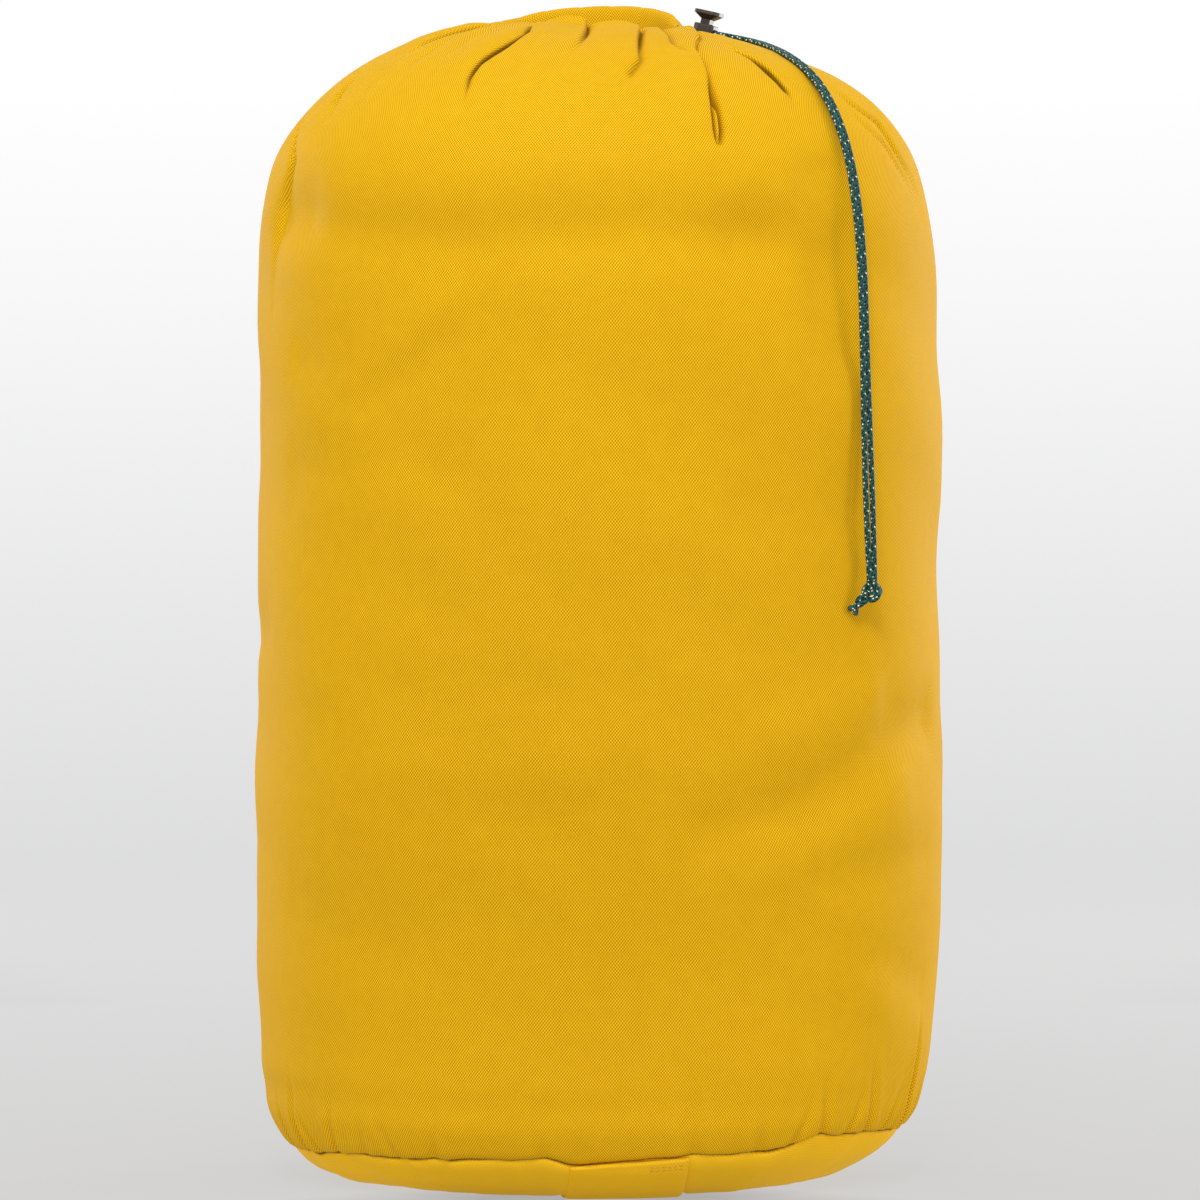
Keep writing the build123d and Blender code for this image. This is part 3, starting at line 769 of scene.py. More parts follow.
def grid_normals(P):
    du = np.roll(P, -1, 1) - np.roll(P, 1, 1)
    dv = np.gradient(P, axis=0)
    return unit(np.cross(du, dv))


# distance along the cloth out from the rim, per vertex
seg = np.linalg.norm(np.diff(RZ, axis=0), axis=-1)
arc = np.concatenate([np.zeros((1, NC)), np.cumsum(seg, 0)])
rim_row = NB + int(np.argmin(np.abs(tag - J_RIM)))
A = arc[rim_row][None, :] - arc              # + outside, - inside the mouth
P0 = to_xyz(RZ)
N0 = grid_normals(P0)
RHO = RZ[..., 0]
Z = RZ[..., 1]
disp = np.zeros((NR, NC))

# large soft lumps of the filling, strongest in the barrel
rg = np.random.default_rng(7)


def lumps(count, kmax, zwave, seed):
    r = np.random.default_rng(seed)
    out = np.zeros((NR, NC))
    for _ in range(count):
        k = int(r.integers(1, kmax + 1))
        l = 2 * np.pi / r.uniform(*zwave)
        out += r.normal() * np.cos(k * TH[None, :] + l * Z + r.uniform(0, 2 * np.pi)) / math.sqrt(count)
    return out


side = np.clip((Z - 30) / 60, 0, 1) * np.clip((A - 10) / 60, 0, 1)
disp += side * (0.62 * lumps(12, 4, (190, 460), 3) + 0.48 * lumps(18, 9, (70, 190), 5) + 0.24 * lumps(26, 18, (36, 90), 9))
# long shallow sags that lie nearly level across the front
for zc, ac, wz, wa, am in ((232, -128, 9, 34, 0.8), (214, -60, 8, 30, -0.7), (388, -132, 8, 24, 0.7), (160, -38, 10, 26, 0.9), (338, -70, 12, 44, 0.5),
                           (120, -120, 10, 40, -0.6), (205, 40, 9, 40, 0.8), (300, 120, 10, 46, 0.8), (150, 150, 9, 36, -0.8), (380, 60, 9, 36, 0.7)):
    dd = (DEG[None, :] - ac + 180) % 360 - 180
    tilt = 0.10 * dd
    disp += am * np.exp(-((Z - zc - tilt) / wz) ** 2 - (dd / wa) ** 2)

def soft(points, am, w_, lee=1.0):
    """A long soft ridge (+) or hollow (-) along a line of (azimuth, height); lee widens its lower or left flank."""
    global disp
    pts_ = np.array(points, float)
    X_ = DEG[None, :] + 0.0 * Z
    best = np.full(Z.shape, 1e9)
    for (a0_, z0_), (a1_, z1_) in zip(pts_[:-1], pts_[1:]):
        s0, s1 = a0_ * 2.73, a1_ * 2.73
        px_ = ((X_ - a0_ + 180) % 360 - 180) * 2.73
        ex_, ez_ = s1 - s0, z1_ - z0_
        t_ = np.clip((px_ * ex_ + (Z - z0_) * ez_) / max(ex_ * ex_ + ez_ * ez_, 1e-6), 0, 1)
        dx_, dz_ = px_ - t_ * ex_, Z - z0_ - t_ * ez_
        low_ = np.where(dz_ < 0, 1.0 / lee, 1.0)
        best = np.minimum(best, np.hypot(dx_ * np.where(np.abs(ez_) > np.abs(ex_), np.where(dx_ < 0, 1.0 / lee, 1.0), 1.0), dz_ * (low_ if abs(ex_) >= abs(ez_) else 1.0)))
    disp += 1.3 * am * np.exp(-(best / w_) ** 2) * (A > 8)


# a shallow hollow under the shoulder, deepest at the left edge and beside the cord
soft([(-158, 434), (-148, 432), (-132, 425), (-108, 420), (-84, 423), (-62, 420)], -2.4, 14)
soft([(-157, 440), (-150, 438)], -2.6, 16)
soft([(-66, 424), (-57, 420), (-51, 410)], -3.2, 15, 1.5)
soft([(-47.5, 452), (-46, 430), (-45.5, 400), (-45, 372)], -2.2, 8, 2.6)
soft([(-112, 452), (-74, 455)], 1.3, 13)
soft([(-66, 450), (-58, 452)], 1.1, 12)
soft([(-149, 371), (-145, 369)], -1.1, 9)
soft([(-135, 361), (-113, 396)], 1.2, 7)
soft([(-132, 351), (-108, 384)], -0.7, 6)
soft([(-150, 322), (-128, 326), (-114, 321)], -1.2, 9)
soft([(-66, 304), (-44, 300)], -1.1, 9)
soft([(-132, 229), (-84, 224)], -1.2, 11)
soft([(-128, 190), (-110, 188), (-92, 190)], 1.1, 8)
soft([(-128, 170), (-96, 166)], -0.5, 7)
soft([(-111, 178), (-103, 146)], -0.5, 3)
soft([(-117, 196), (-112, 176)], 0.4, 4)
# lower right: crossing hollows that rise to the edge
soft([(-72, 163), (-58, 171), (-46, 185), (-34, 201), (-20, 210)], -3.0, 11)
soft([(-60, 205), (-50, 214), (-40, 220)], 2.0, 11)
soft([(-60, 152), (-46, 160), (-30, 176)], 0.9, 8)
soft([(-52, 138), (-36, 146), (-22, 150)], -1.3, 8)
soft([(-58, 122), (-40, 106), (-20, 90)], -1.2, 7)
soft([(-50, 100), (-34, 84)], 0.8, 8)
soft([(-150, 128), (-138, 112), (-126, 104)], -0.8, 9)
soft([(-146, 90), (-130, 80)], 0.6, 8)
# the back and the far side carry the same kind of marks
soft([(20, 440), (52, 436), (86, 441), (120, 437), (150, 443)], -1.1, 11)
soft([(30, 330), (62, 322), (84, 300)], -1.2, 10)
soft([(70, 214), (100, 202), (132, 214)], -1.5, 10)
soft([(44, 150), (66, 166), (88, 172)], 1.1, 9)
soft([(112, 372), (136, 350)], 0.9, 8)
soft([(118, 110), (150, 92)], -1.0, 8)
soft([(0, 300), (14, 282), (30, 276)], -1.2, 9)
soft([(160, 262), (178, 246), (196, 252)], -1.3, 10)

# soft radial swell between the folds on the shoulder
sh = np.clip(A / 12, 0, 1) * np.exp(-np.clip(A, 0, None) / 62.0)
for k, am, ph in ((9, 0.55, 0.4), (14, 0.42, 2.2), (23, 0.30, 4.0), (31, 0.18, 1.0)):
    disp += am * sh * np.cos(k * TH[None, :] + ph + 0.012 * A)

# folds
fold_cut = np.zeros((NR, NC))
# crease map: where painted shade goes into the cloth's colour, 0 to 1
crease_shade = np.zeros((NR, NC))
for f in FOLDS:
    a = np.clip(A, f["a"][0], f["a"][-1])
    az = np.interp(a, f["a"], f["az"])
    depth = np.interp(a, f["a"], f["depth"])
    width = np.interp(a, f["a"], f["width"])
    step = np.interp(a, f["a"], f["step"])
    inside = np.clip((A - f["a"][0]) / 6.0 + 1, 0, 1) if f["a"][0] > 0 else 1.0
    fade = np.where(A < f["a"][0], inside, np.clip(1 - (A - f["a"][-1]) / 8, 0, 1))
    d = ((DEG[None, :] - az + 180) % 360 - 180) * np.pi / 180 * RHO
    x = d / width
    cut = depth * (0.72 * np.exp(-np.abs(x) ** 1.35) + 0.28 / (1 + (x / 2.2) ** 2) * np.exp(-np.abs(x) / 6))
    disp -= cut * fade
    fold_cut = np.maximum(fold_cut, cut * fade)
    # painted shade in the fold's trough: a narrow band along its bottom line
    crease_shade = np.maximum(crease_shade, np.exp(-(x / 0.85) ** 2) * np.clip((depth - 0.9) / 3.6, 0, 1) * fade * (width < 2.2))
    if f["ink"]:
        # the fold's far wall is painted dark too, as painted shade on that one wall
        far_ = d * f["ink"] > 0
        q_ = np.clip((cut * fade - np.where(far_, 0.75, 1.5)) / np.where(far_, 1.4, 2.4), 0, 1)
        crease_shade = np.maximum(crease_shade, 0.95 * q_ * q_ * (3 - 2 * q_))
    if np.any(f["step"] != 0):
        sgn = np.tanh(d / 0.9)
        disp += step * fade * sgn * np.exp(-np.abs(d) / f["reach"]) * 0.8

# lobes of the rim bulge between their folds
rf = np.sort(np.array(RIM_FOLDS) % 360)
qd = DEG % 360
k = np.searchsorted(rf, qd, side="right") - 1
lo_ = np.where(k < 0, rf[-1] - 360, rf[k])
hi_ = np.where(k + 1 >= len(rf), rf[0] + 360, rf[np.clip(k + 1, 0, len(rf) - 1)])
fr = (qd - lo_) / (hi_ - lo_)
lobe_w = (hi_ - lo_) * np.pi / 180 * 44
lobe = np.sin(np.pi * np.clip(fr, 0, 1)) ** 0.7
near = np.exp(-(np.clip(A, 0, None) / 16.0) ** 1.2)
front = 1 / (1 + np.exp((np.abs((DEG + 85 + 180) % 360 - 180) - 62) / 6.0))
disp += (lobe * np.clip(lobe_w / 22, 0.3, 1.4) * (0.12 + 1.10 * front))[None, :] * near * np.where(A < -4, np.exp((A + 4) / 6), 1.0)
rim_lift = (lobe - 0.6) * np.clip(lobe_w / 18, 0.2, 1.2) * (0.05 + 0.68 * front)

# puckers above the base seam
rp = np.random.default_rng(23)
H = Z - sea[None, :]


def pucker(az, top, depth, width, lean=0.0):
    global disp
    d = ((DEG[None, :] - az - lean * H / max(top, 1) + 180) % 360 - 180) * np.pi / 180 * RHO
    hh = np.clip(H / top, 0, 1)
    env = (1 - hh) ** 1.4 * np.clip(H / 1.5, 0.35, 1)
    disp -= 1.35 * depth * env * (np.exp(-(d / width) ** 2) - 0.45 * np.exp(-((d - 2.0 * width) / (1.5 * width)) ** 2) - 0.45 * np.exp(-((d + 2.0 * width) / (1.5 * width)) ** 2))


for az, tp, dp, wd, ln in ((-19.6, 58, 3.6, 2.0, 0.0), (-27, 26, 2.0, 2.2, 3), (-33.5, 44, 1.9, 2.4, -4), (-40, 22, 1.6, 2.0, 2), (-46.5, 38, 1.7, 2.6, -3),
                           (-53, 24, 1.3, 2.4, 2), (-60, 30, 1.1, 2.6, -2), (-12, 30, 2.0, 2.2, 2), (-5, 40, 1.8, 2.6, -3),
                           (-121, 34, 1.2, 2.6, 3), (-129, 22, 1.0, 2.4, -2), (-137, 30, 1.2, 2.6, 3), (-145, 40, 1.8, 2.2, 5), (-151, 26, 1.6, 2.0, -3),
                           (-157, 44, 2.0, 2.4, 4), (-164, 30, 1.8, 2.2, 2), (-171, 48, 1.7, 2.6, -4), (-100, 18, 0.7, 3.0, 0), (-73, 18, 0.8, 3.0, 0)):
    pucker(az, tp, dp, wd, ln)
az = 3.0
while az < 186:
    pucker(az, rp.uniform(18, 52), rp.uniform(0.8, 2.2), rp.uniform(1.9, 3.0), rp.uniform(-4, 4))
    az += rp.uniform(5.5, 11.0)
# the skin turns under at the seam
tuck = np.exp(-np.clip(H, 0, None) / 1.1)
disp -= 1.5 * tuck * (A > 20)
# painted shade along the base seam line, over the real tuck
crease_shade = np.maximum(crease_shade, np.exp(-(H / 0.44) ** 2) * (A > 20))

P = P0 + N0 * disp[..., None]
P[..., 2] += (np.exp(-(np.clip(A, 0, None) / 12) ** 1.3) * np.where(A < 0, np.exp(A / 9), 1.0)) * rim_lift[None, :]
# inside the mouth the tucks stand in as folded fins
fin = np.clip(fold_cut[rim_row] / 9.0, 0, 1.2)
ins = np.clip(-A / 6, 0, 1)
P[..., :2] -= (unit(P0[..., :2]) * (ins * fin[None, :] * 1.6)[..., None])
P[..., 2] = np.where(H < 3, np.maximum(P[..., 2], 0.4), P[..., 2])


# the cords lie on the cloth: it stays just under them
def clear_cords(P, N, lines, gap):
    for _ in range(3):
        for ln in lines:
            pts, _t = resample(ln, 1.5 * MM)
            pts = pts / MM
            pts = pts[6:]
            lo, hi = pts.min(0) - 8, pts.max(0) + 8
            m = np.all((P > lo) & (P < hi), -1) & (A > 1.0)
            idx = np.argwhere(m)
            if not len(idx):
                continue
            v = P[m]
            d2 = ((v[:, None, :] - pts[None, :, :]) ** 2).sum(-1)
            kk = d2.argmin(1)
            dist = np.sqrt(d2[np.arange(len(v)), kk])
            n = N[m]
            h = ((v - pts[kk]) * n).sum(1)
            lat = np.sqrt(np.maximum(dist**2 - h**2, 0))
            # allowed height above the cord's line at this lateral distance
            top_h = -np.sqrt(np.maximum(gap**2 - np.minimum(lat, gap) ** 2, 0)) + np.maximum(lat - gap * 0.8, 0) * 0.9
            push = np.maximum(h - top_h, 0) * (lat < 5.5)
            P[m] = v - n * push[:, None]
    return P


# a lap of cloth stands up in front of the lock
P[..., 2] += 0.5 * np.exp(-((P[..., 0] - 50) / 9.0) ** 2 - ((P[..., 1] + 15.5) / 5.0) ** 2) * (A > 1)
P = clear_cords(P, N0, (line_front, line_rear), 1.42)


def clear_lock(P, N):
    lo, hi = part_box("cord_lock_barrel")
    lo, hi = np.array(lo) / MM, np.array(hi) / MM
    c = (lo + hi) / 2
    # long enough for the lock's travel away from the mouth
    dx = np.maximum(np.abs(P[..., 0] - c[0] - 2.6) - 9.2, 0)
    dy = np.maximum(np.abs(P[..., 1] - c[1] + 0.8) - 7.2, 0)
    d = np.hypot(dx, dy)
    lim = lo[2] - 0.6 - 0.186 * np.clip(P[..., 0] - lo[0] + 0.6, 0, 6.2) + 3.1 * np.clip(d, 0, 6) ** 1.15
    m = (d < 6) & (A > 2.0)
    P[..., 2] = np.where(m, np.minimum(P[..., 2], lim), P[..., 2])
    return P


P = clear_lock(P, N0)
P = P * MM


def turned_in(edge, lift):
    """Two more rows that carry the cloth's edge inside as a seam allowance."""
    out = unit(edge * np.array([1, 1, 0]))
    up = np.array([0, 0, 1])
    return [edge - out * 1.3 * MM + up * lift * 0.4 * MM, edge - out * 7.0 * MM + up * lift * MM]


rows_in = turned_in(P[0], 0.5)
P_body = np.concatenate([rows_in[1][None], rows_in[0][None], P])
NRB = len(P_body)

# cloth coordinates: metres along the warp and weft, a lobe at a time, so that the weave keeps its scale where the cloth is gathered
faces = grid_faces(NRB, NC, True)
R0 = 0.1566
mid_deg = np.degrees((TH + np.roll(TH, -1)) / 2)
mid_deg[-1] = (DEG[-1] + DEG[0] + 360) / 2
kk = np.searchsorted(rf, mid_deg % 360, side="right") - 1
lo_f = np.where(kk < 0, rf[-1] - 360, rf[kk])
hi_f = np.where(kk + 1 >= len(rf), rf[0] + 360, rf[np.clip(kk + 1, 0, len(rf) - 1)])
cen_lin = mid_deg + ((lo_f + hi_f) / 2 - mid_deg % 360)
v0 = arc - arc[len(low)][None, :] + 62.0
V_arc = np.concatenate([v0[:1] - 7.2, v0[:1] - 1.4, v0]) * MM
away = np.clip((np.concatenate([A[:1], A[:1], A]) - 38) / 56, 0, 1)
away = away * away * (3 - 2 * away)
RHO_U = np.minimum(np.concatenate([RHO[:1], RHO[:1], RHO]) * MM, R0)
RHO_U = RHO_U + (R0 - RHO_U) * away
TH2 = np.r_[TH, TH[0] + 2 * np.pi]


def u_of(row, col, face_col):
    c = np.radians(cen_lin[face_col])
    return c * R0 + (TH2[col] - c) * RHO_U[row, col % NC]


i_idx = np.repeat(np.arange(NRB - 1), NC)
j_idx = np.tile(np.arange(NC), NRB - 1)
uvs = np.stack([
    np.stack([u_of(i_idx, j_idx, j_idx), V_arc[i_idx, j_idx]], -1),
    np.stack([u_of(i_idx, j_idx + 1, j_idx), V_arc[i_idx, (j_idx + 1) % NC]], -1),
    np.stack([u_of(i_idx + 1, j_idx + 1, j_idx), V_arc[i_idx + 1, (j_idx + 1) % NC]], -1),
    np.stack([u_of(i_idx + 1, j_idx, j_idx), V_arc[i_idx + 1, j_idx]], -1)], 1).reshape(-1, 2)
# the two turned-in rows are painted fully dark, as painted shade inside the seam
body_crease_shade = np.concatenate([np.ones((2, NC)), crease_shade])
body = make_object("body_fabric", P_body.reshape(-1, 3), faces, mat_fabric, uvs, crease_shade=body_crease_shade)
print("body grid", NRB, NC, len(faces))

# ------------------------------------------------------------------ base panel
NBASE_R = 34
s_low = np.r_[0, 0.012, 0.03, np.linspace(0, 1, 15)[1:]]
base_rows = []
seam_r = rho_side(sea, TH)
for f in s_low[:-1]:
    z = sea * (1 - f) ** 1.35 - 0.0
    r = rho_side(z, TH)
    base_rows.append(np.stack([r, z], 1))
r_floor = rho_side(np.zeros(NC), TH)
for f in np.linspace(0, 1, 18):
    base_rows.append(np.stack([r_floor * (1 - f) + 1.0 * f, np.full(NC, 0.0)], 1))
BR = np.array(base_rows)
BP = to_xyz(BR)
BN = -grid_normals(BP)
bd = np.zeros(BR.shape[:2])
Hb = sea[None, :] - BR[..., 1]
rb = np.random.default_rng(77)
curve = np.clip(BR[..., 1] / 3.0, 0, 1)
for k, am in ((11, 0.35), (19, 0.3), (37, 0.2), (53, 0.14)):
    bd += am * curve * np.cos(k * TH[None, :] + k)
az = -200.0
while az < 160:
    d = ((DEG[None, :] - az + 180) % 360 - 180) * np.pi / 180 * BR[..., 0]
    bd -= rb.uniform(0.2, 0.9) * np.exp(-(d / rb.uniform(2.0, 3.6)) ** 2) * np.clip(1 - Hb / rb.uniform(7, 15), 0, 1)
    az += rb.uniform(6, 15)
bd -= 1.5 * np.exp(-np.clip(Hb, 0, None) / 0.9) * (BR[..., 1] > 4)
BP = BP + BN * bd[..., None]
BP[0] = P[0] / MM - np.array([0, 0, 0.06])
# over the strap the panel is pressed up by the strap's thickness
turn = math.radians(5.4)
ex, ey = np.array([math.cos(turn), math.sin(turn)]), np.array([-math.sin(turn), math.cos(turn)])
sx = BP[..., 0] * ex[0] + BP[..., 1] * ex[1]
press = 1.75 * (1 / (1 + np.exp((np.abs(sx) - 28.2) / 0.5)))
BP[..., 2] = np.where(BR[..., 1] < 2.2, np.maximum(BP[..., 2], 0.12) + press * np.clip(1 - BR[..., 1] / 2.2, 0, 1), BP[..., 2])
BP[..., 2] = np.maximum(BP[..., 2], 0.10)
BPm = BP * MM
rows_in = turned_in(BPm[0], -0.5)
BPm = np.concatenate([rows_in[1][None], rows_in[0][None], BPm])
bf = grid_faces(len(BPm), NC, True)[:, ::-1]
bverts = list(BPm.reshape(-1, 3))
bfaces = [tuple(f) for f in bf]
cidx = len(bverts)
bverts.append(np.array([0, 0, (0.12 + 1.75) * MM]))
last = (len(BPm) - 1) * NC
for q in range(NC):
    bfaces.append((last + (q + 1) % NC, last + q, cidx)[::-1])
allv = np.array(bverts)
buv = []
for f in bfaces:
    for vi in f:
        p = allv[vi]
        r_ = math.hypot(p[0], p[1])
        g = 1.0 + 0.35 * p[2] / max(r_, 1e-3)
        buv.append((p[0] * g, p[1] * g))
# painted shade along the base seam, and fully dark on the two turned-in rows
base_crease_shade = np.concatenate([np.ones((2, NC)), np.exp(-(Hb / 0.36) ** 2) * (BR[..., 1] > 4)]).ravel()
base = make_object("base_fabric", bverts, bfaces, mat_base_lit, buv, crease_shade=np.r_[base_crease_shade, 0.0])

# ------------------------------------------------------------------ grab strap
half = 26.0
ny = 150
ys = np.linspace(-1, 1, ny)


def under_base(x, y):
    """Height of the base panel's outside at a plan point, mm."""
    r = np.hypot(x, y)
    th = np.arctan2(y, x)
    zz = np.linspace(0.0, 30, 121)
    out = np.zeros_like(r)
    flat_r, flat_t = r.ravel(), th.ravel()
    rs = rho_side(zz[None, :], flat_t[:, None])
    res = np.array([np.interp(rv, row, zz) if rv > row[0] else 0.0 for rv, row in zip(flat_r, rs)])
    return res.reshape(r.shape)


def strap_seam(x, sgn):
    """Plan distance along the strap at which it enters the seam."""
    y = np.full_like(x, sgn * 136.0)
    for _ in range(12):
        X = x * ex[0] + y * ey[0]
        Y = x * ex[1] + y * ey[1]
        th = np.degrees(np.arctan2(Y, X))
        sz = cyclic(SEAM_Z, th)
        rs = rho_side(sz, np.radians(th))
        r = np.hypot(X, Y)
        y = y * (rs + 0.2) / r
    return y


across = np.r_[-half, -half + 0.35, -half + 0.9, np.linspace(-half + 1.7, half - 1.7, 19), half - 0.9, half - 0.35, half]
y_front, y_back = strap_seam(across, -1), strap_seam(across, 1)
# parameter along the strap with more rows in the curved ends
tt = np.sin(np.linspace(-1, 1, ny) * np.pi / 2)
tt = 0.55 * tt + 0.45 * np.linspace(-1, 1, ny)
YY = np.where(tt[:, None] < 0, -tt[:, None] * y_front[None, :], tt[:, None] * y_back[None, :])
XX = np.broadcast_to(across[None, :], YY.shape)
gx, gy = XX * ex[0] + YY * ey[0], XX * ex[1] + YY * ey[1]
hz = under_base(gx, gy)
# outward direction of the base skin, from its slope
e = 0.4
dzx = (under_base(gx + e, gy) - under_base(gx - e, gy)) / (2 * e)
dzy = (under_base(gx, gy + e) - under_base(gx, gy - e)) / (2 * e)
nrm = unit(np.stack([dzx, dzy, -np.ones_like(dzx)], -1))
mid_surf = np.stack([gx, gy, hz], -1)
top_s = mid_surf + nrm * 0.10
bow = 0.5 * np.exp(-((np.abs(YY) - 128) / 9) ** 2) * (1 - (XX / half) ** 2)
edge_t = np.clip((np.abs(XX) - (half - 2.4)) / 2.4, 0, 1)
thick = 1.35 - 0.75 * edge_t**1.6 + bow
low_s = mid_surf + nrm * (0.10 + thick)[..., None]
flat = hz < 1.6
low_s[..., 2] = np.maximum(low_s[..., 2], 0.02)
top_s[..., 2] = np.maximum(top_s[..., 2], 1.5 * np.clip(1 - hz / 3.0, 0, 1))
top_s[..., 2] = np.maximum(top_s[..., 2], low_s[..., 2] + 0.5)
S = np.concatenate([top_s, low_s[:, ::-1]], 1) * MM      # closed section
sf = grid_faces(ny, S.shape[1], True)
sverts = S.reshape(-1, 3)
ring = S.shape[1]
endf = [tuple(range(ring))[::-1], tuple((ny - 1) * ring + np.arange(ring))]
sfaces = [tuple(f)[::-1] for f in sf] + [tuple(int(x) for x in f)[::-1] for f in endf]
slen = np.concatenate([XX, XX[:, ::-1] + 80], 1) * MM
sy = np.concatenate([YY, YY[:, ::-1]], 1) * MM
suv = []
SX, SY = slen.ravel(), sy.ravel()
for f in sfaces:
    for vi in f:
        suv.append((SX[vi], SY[vi]))
strap = make_object("grab_strap", sverts, sfaces, mat_strap_lit, suv, crease_shade=np.zeros(len(sverts)))


def capsule_stitches(name, path_pts, normals, length, gap, radius, mat, proud=0.0):
    """Separate stitches along a path: each a short thread that dives in at both ends."""
    path_pts = np.asarray(path_pts, float)
    s = np.r_[0, np.cumsum(np.linalg.norm(np.diff(path_pts, axis=0), axis=1))]
    verts, faces = [], []
    pos = gap
    while pos + length < s[-1]:
        ts = np.linspace(pos, pos + length, 7)
        c = np.stack([np.interp(ts, s, path_pts[:, k]) for k in range(3)], 1)
        n = unit(np.stack([np.interp(ts, s, normals[:, k]) for k in range(3)], 1))
        lift = np.sin(np.linspace(0, np.pi, 7)) ** 0.6
        c = c + n * (radius * (lift * 1.0 - 0.45) + proud)[:, None]
        t = unit(np.gradient(c, axis=0))
        b = unit(np.cross(t, n))
        n2 = np.cross(b, t)
        base_i = len(verts)
        for q in range(7):
            rq = radius * (0.55 if q in (0, 6) else 1.0)
            for a_ in range(6):
                an = a_ * math.pi / 3
                verts.append(tuple(c[q] + rq * (math.cos(an) * n2[q] + math.sin(an) * b[q])))
        for q in range(6):
            for a_ in range(6):
                a1 = (a_ + 1) % 6
                faces.append((base_i + q * 6 + a_, base_i + q * 6 + a1, base_i + (q + 1) * 6 + a1, base_i + (q + 1) * 6 + a_))
        faces.append(tuple(base_i + a_ for a_ in range(6))[::-1])
        faces.append(tuple(base_i + 36 + a_ for a_ in range(6)))
        pos += length + gap
    return make_object(name, verts, faces, mat)


# two rows of stitches across each end of the strap, one joined mesh
def strap_rows():
    objs = []
    for sgn in (-1, 1):
        for back in (2.6, 4.3):
            seam_y = strap_seam(across, sgn)
            lean = (across + half) / (2 * half)
            yv = seam_y - sgn * (back - 5.5 * np.clip(0.72 - lean, 0, 1) ** 0.8) * 0.80
            X, Y = across * ex[0] + yv * ey[0], across * ex[1] + yv * ey[1]
            zz = under_base(X, Y)
            dx = (under_base(X + e, Y) - under_base(X - e, Y)) / (2 * e)
            dy = (under_base(X, Y + e) - under_base(X, Y - e)) / (2 * e)
            nn_ = unit(np.stack([dx, dy, -np.ones_like(dx)], -1))
            bw = 0.5 * np.exp(-((np.abs(yv) - 128) / 9) ** 2) * (1 - (across / half) ** 2)
            pt = np.stack([X, Y, zz], -1) + nn_ * (1.55 + bw)[:, None]
            keep = (across > 7.5) & (across < half - 0.5)
            objs.append(capsule_stitches("st", pt[keep] * MM, nn_[keep], 1.9 * MM, 0.7 * MM, 0.17 * MM, mat_thread))
    return objs


def join(objs, name):
    verts, faces = [], []
    for o in objs:
        k0 = len(verts)
        verts += [tuple(v.co) for v in o.data.vertices]
        faces += [tuple(i + k0 for i in p.vertices) for p in o.data.polygons]
    mat = objs[0].data.materials[0]
    for o in objs:
        me = o.data
        bpy.data.objects.remove(o)
        bpy.data.meshes.remove(me)
    return make_object(name, verts, faces, mat)


strap_stitch = join(strap_rows(), "strap_stitches")

# ------------------------------------------------------------------ seam stitches, tunnel stitches, side seam
seam_path = P[0] + unit(P[0] * np.array([1, 1, 0])) * 0.12 * MM
seam_path = np.vstack([seam_path, seam_path[:1]])
seam_n = np.vstack([np.stack([np.cos(TH), np.sin(TH), 0 * TH], 1)] * 1)
seam_n = np.vstack([seam_n, seam_n[:1]])
seam_st = capsule_stitches("base_seam_stitches", seam_path, seam_n, 2.6 * MM, 0.6 * MM, 0.16 * MM, mat_thread_dark)

hem = P[NR - 4]
hem_n = unit(np.stack([-np.cos(TH), -np.sin(TH), 0 * TH], 1))
hem_path = np.vstack([hem + hem_n * 0.2 * MM, (hem + hem_n * 0.2 * MM)[:1]])
tun_st = capsule_stitches("tunnel_stitches", hem_path, np.vstack([hem_n, hem_n[:1]]), 2.4 * MM, 0.7 * MM, 0.22 * MM, mat_thread)

# side seam: a row of stitches beside the seam's folded edge, on the right and a little to the back
col = int(np.argmin(np.abs(DEG - 12.0)))
Ncur = grid_normals(P)
rows_ = np.arange(3, NB + 60)
side_path = P[rows_, col]
side_n = Ncur[rows_, col]
side_st = capsule_stitches("side_seam_stitches", side_path, side_n, 2.6 * MM, 0.6 * MM, 0.2 * MM, mat_thread)



def ring_solid(name, sections, closed, mat):
    """A closed strip swept through sections [n, k, 3]."""
    sections = np.asarray(sections)
    n, k_ = sections.shape[:2]
    q = sections.reshape(-1, 3)
    f = []
    for i in range(n if closed else n - 1):
        i1 = (i + 1) % n
        for j in range(k_):
            j1 = (j + 1) % k_
            f.append((i * k_ + j, i1 * k_ + j, i1 * k_ + j1, i * k_ + j1))
    if not closed:
        f.append(tuple(range(k_))[::-1])
        f.append(tuple((n - 1) * k_ + j for j in range(k_)))
    return make_object(name, q, [t[::-1] for t in f], mat, smooth=False)


cols = np.arange(0, NC, 2)
e_r = unit(P[0] * np.array([1, 1, 0]))
prof = [(-9.6, -1.3), (-4.4, -1.3), (-4.4, -0.8), (-8.9, -0.8), (-8.9, 0.9), (-4.4, 0.9), (-4.4, 1.4), (-9.6, 1.4)]
sec = np.stack([P[0][cols] + e_r[cols] * a_ * MM + np.array([0, 0, b_]) * MM for a_, b_ in prof], 1)
bind_base = ring_solid("base_binding", sec, True, mat_tape)
rows_b = np.arange(22, NB + 40, 2)
t_side = unit(np.cross(np.array([0, 0, 1.0]), Ncur[rows_b, col]))
n_side = Ncur[rows_b, col]
p_side = P[rows_b, col]
sec = np.stack([p_side - n_side * a_ * MM + t_side * b_ * MM for a_, b_ in ((1.5, -6), (1.5, 6), (2.3, 6), (2.3, -6))], 1)
bind_side = ring_solid("side_binding", sec, False, mat_tape)

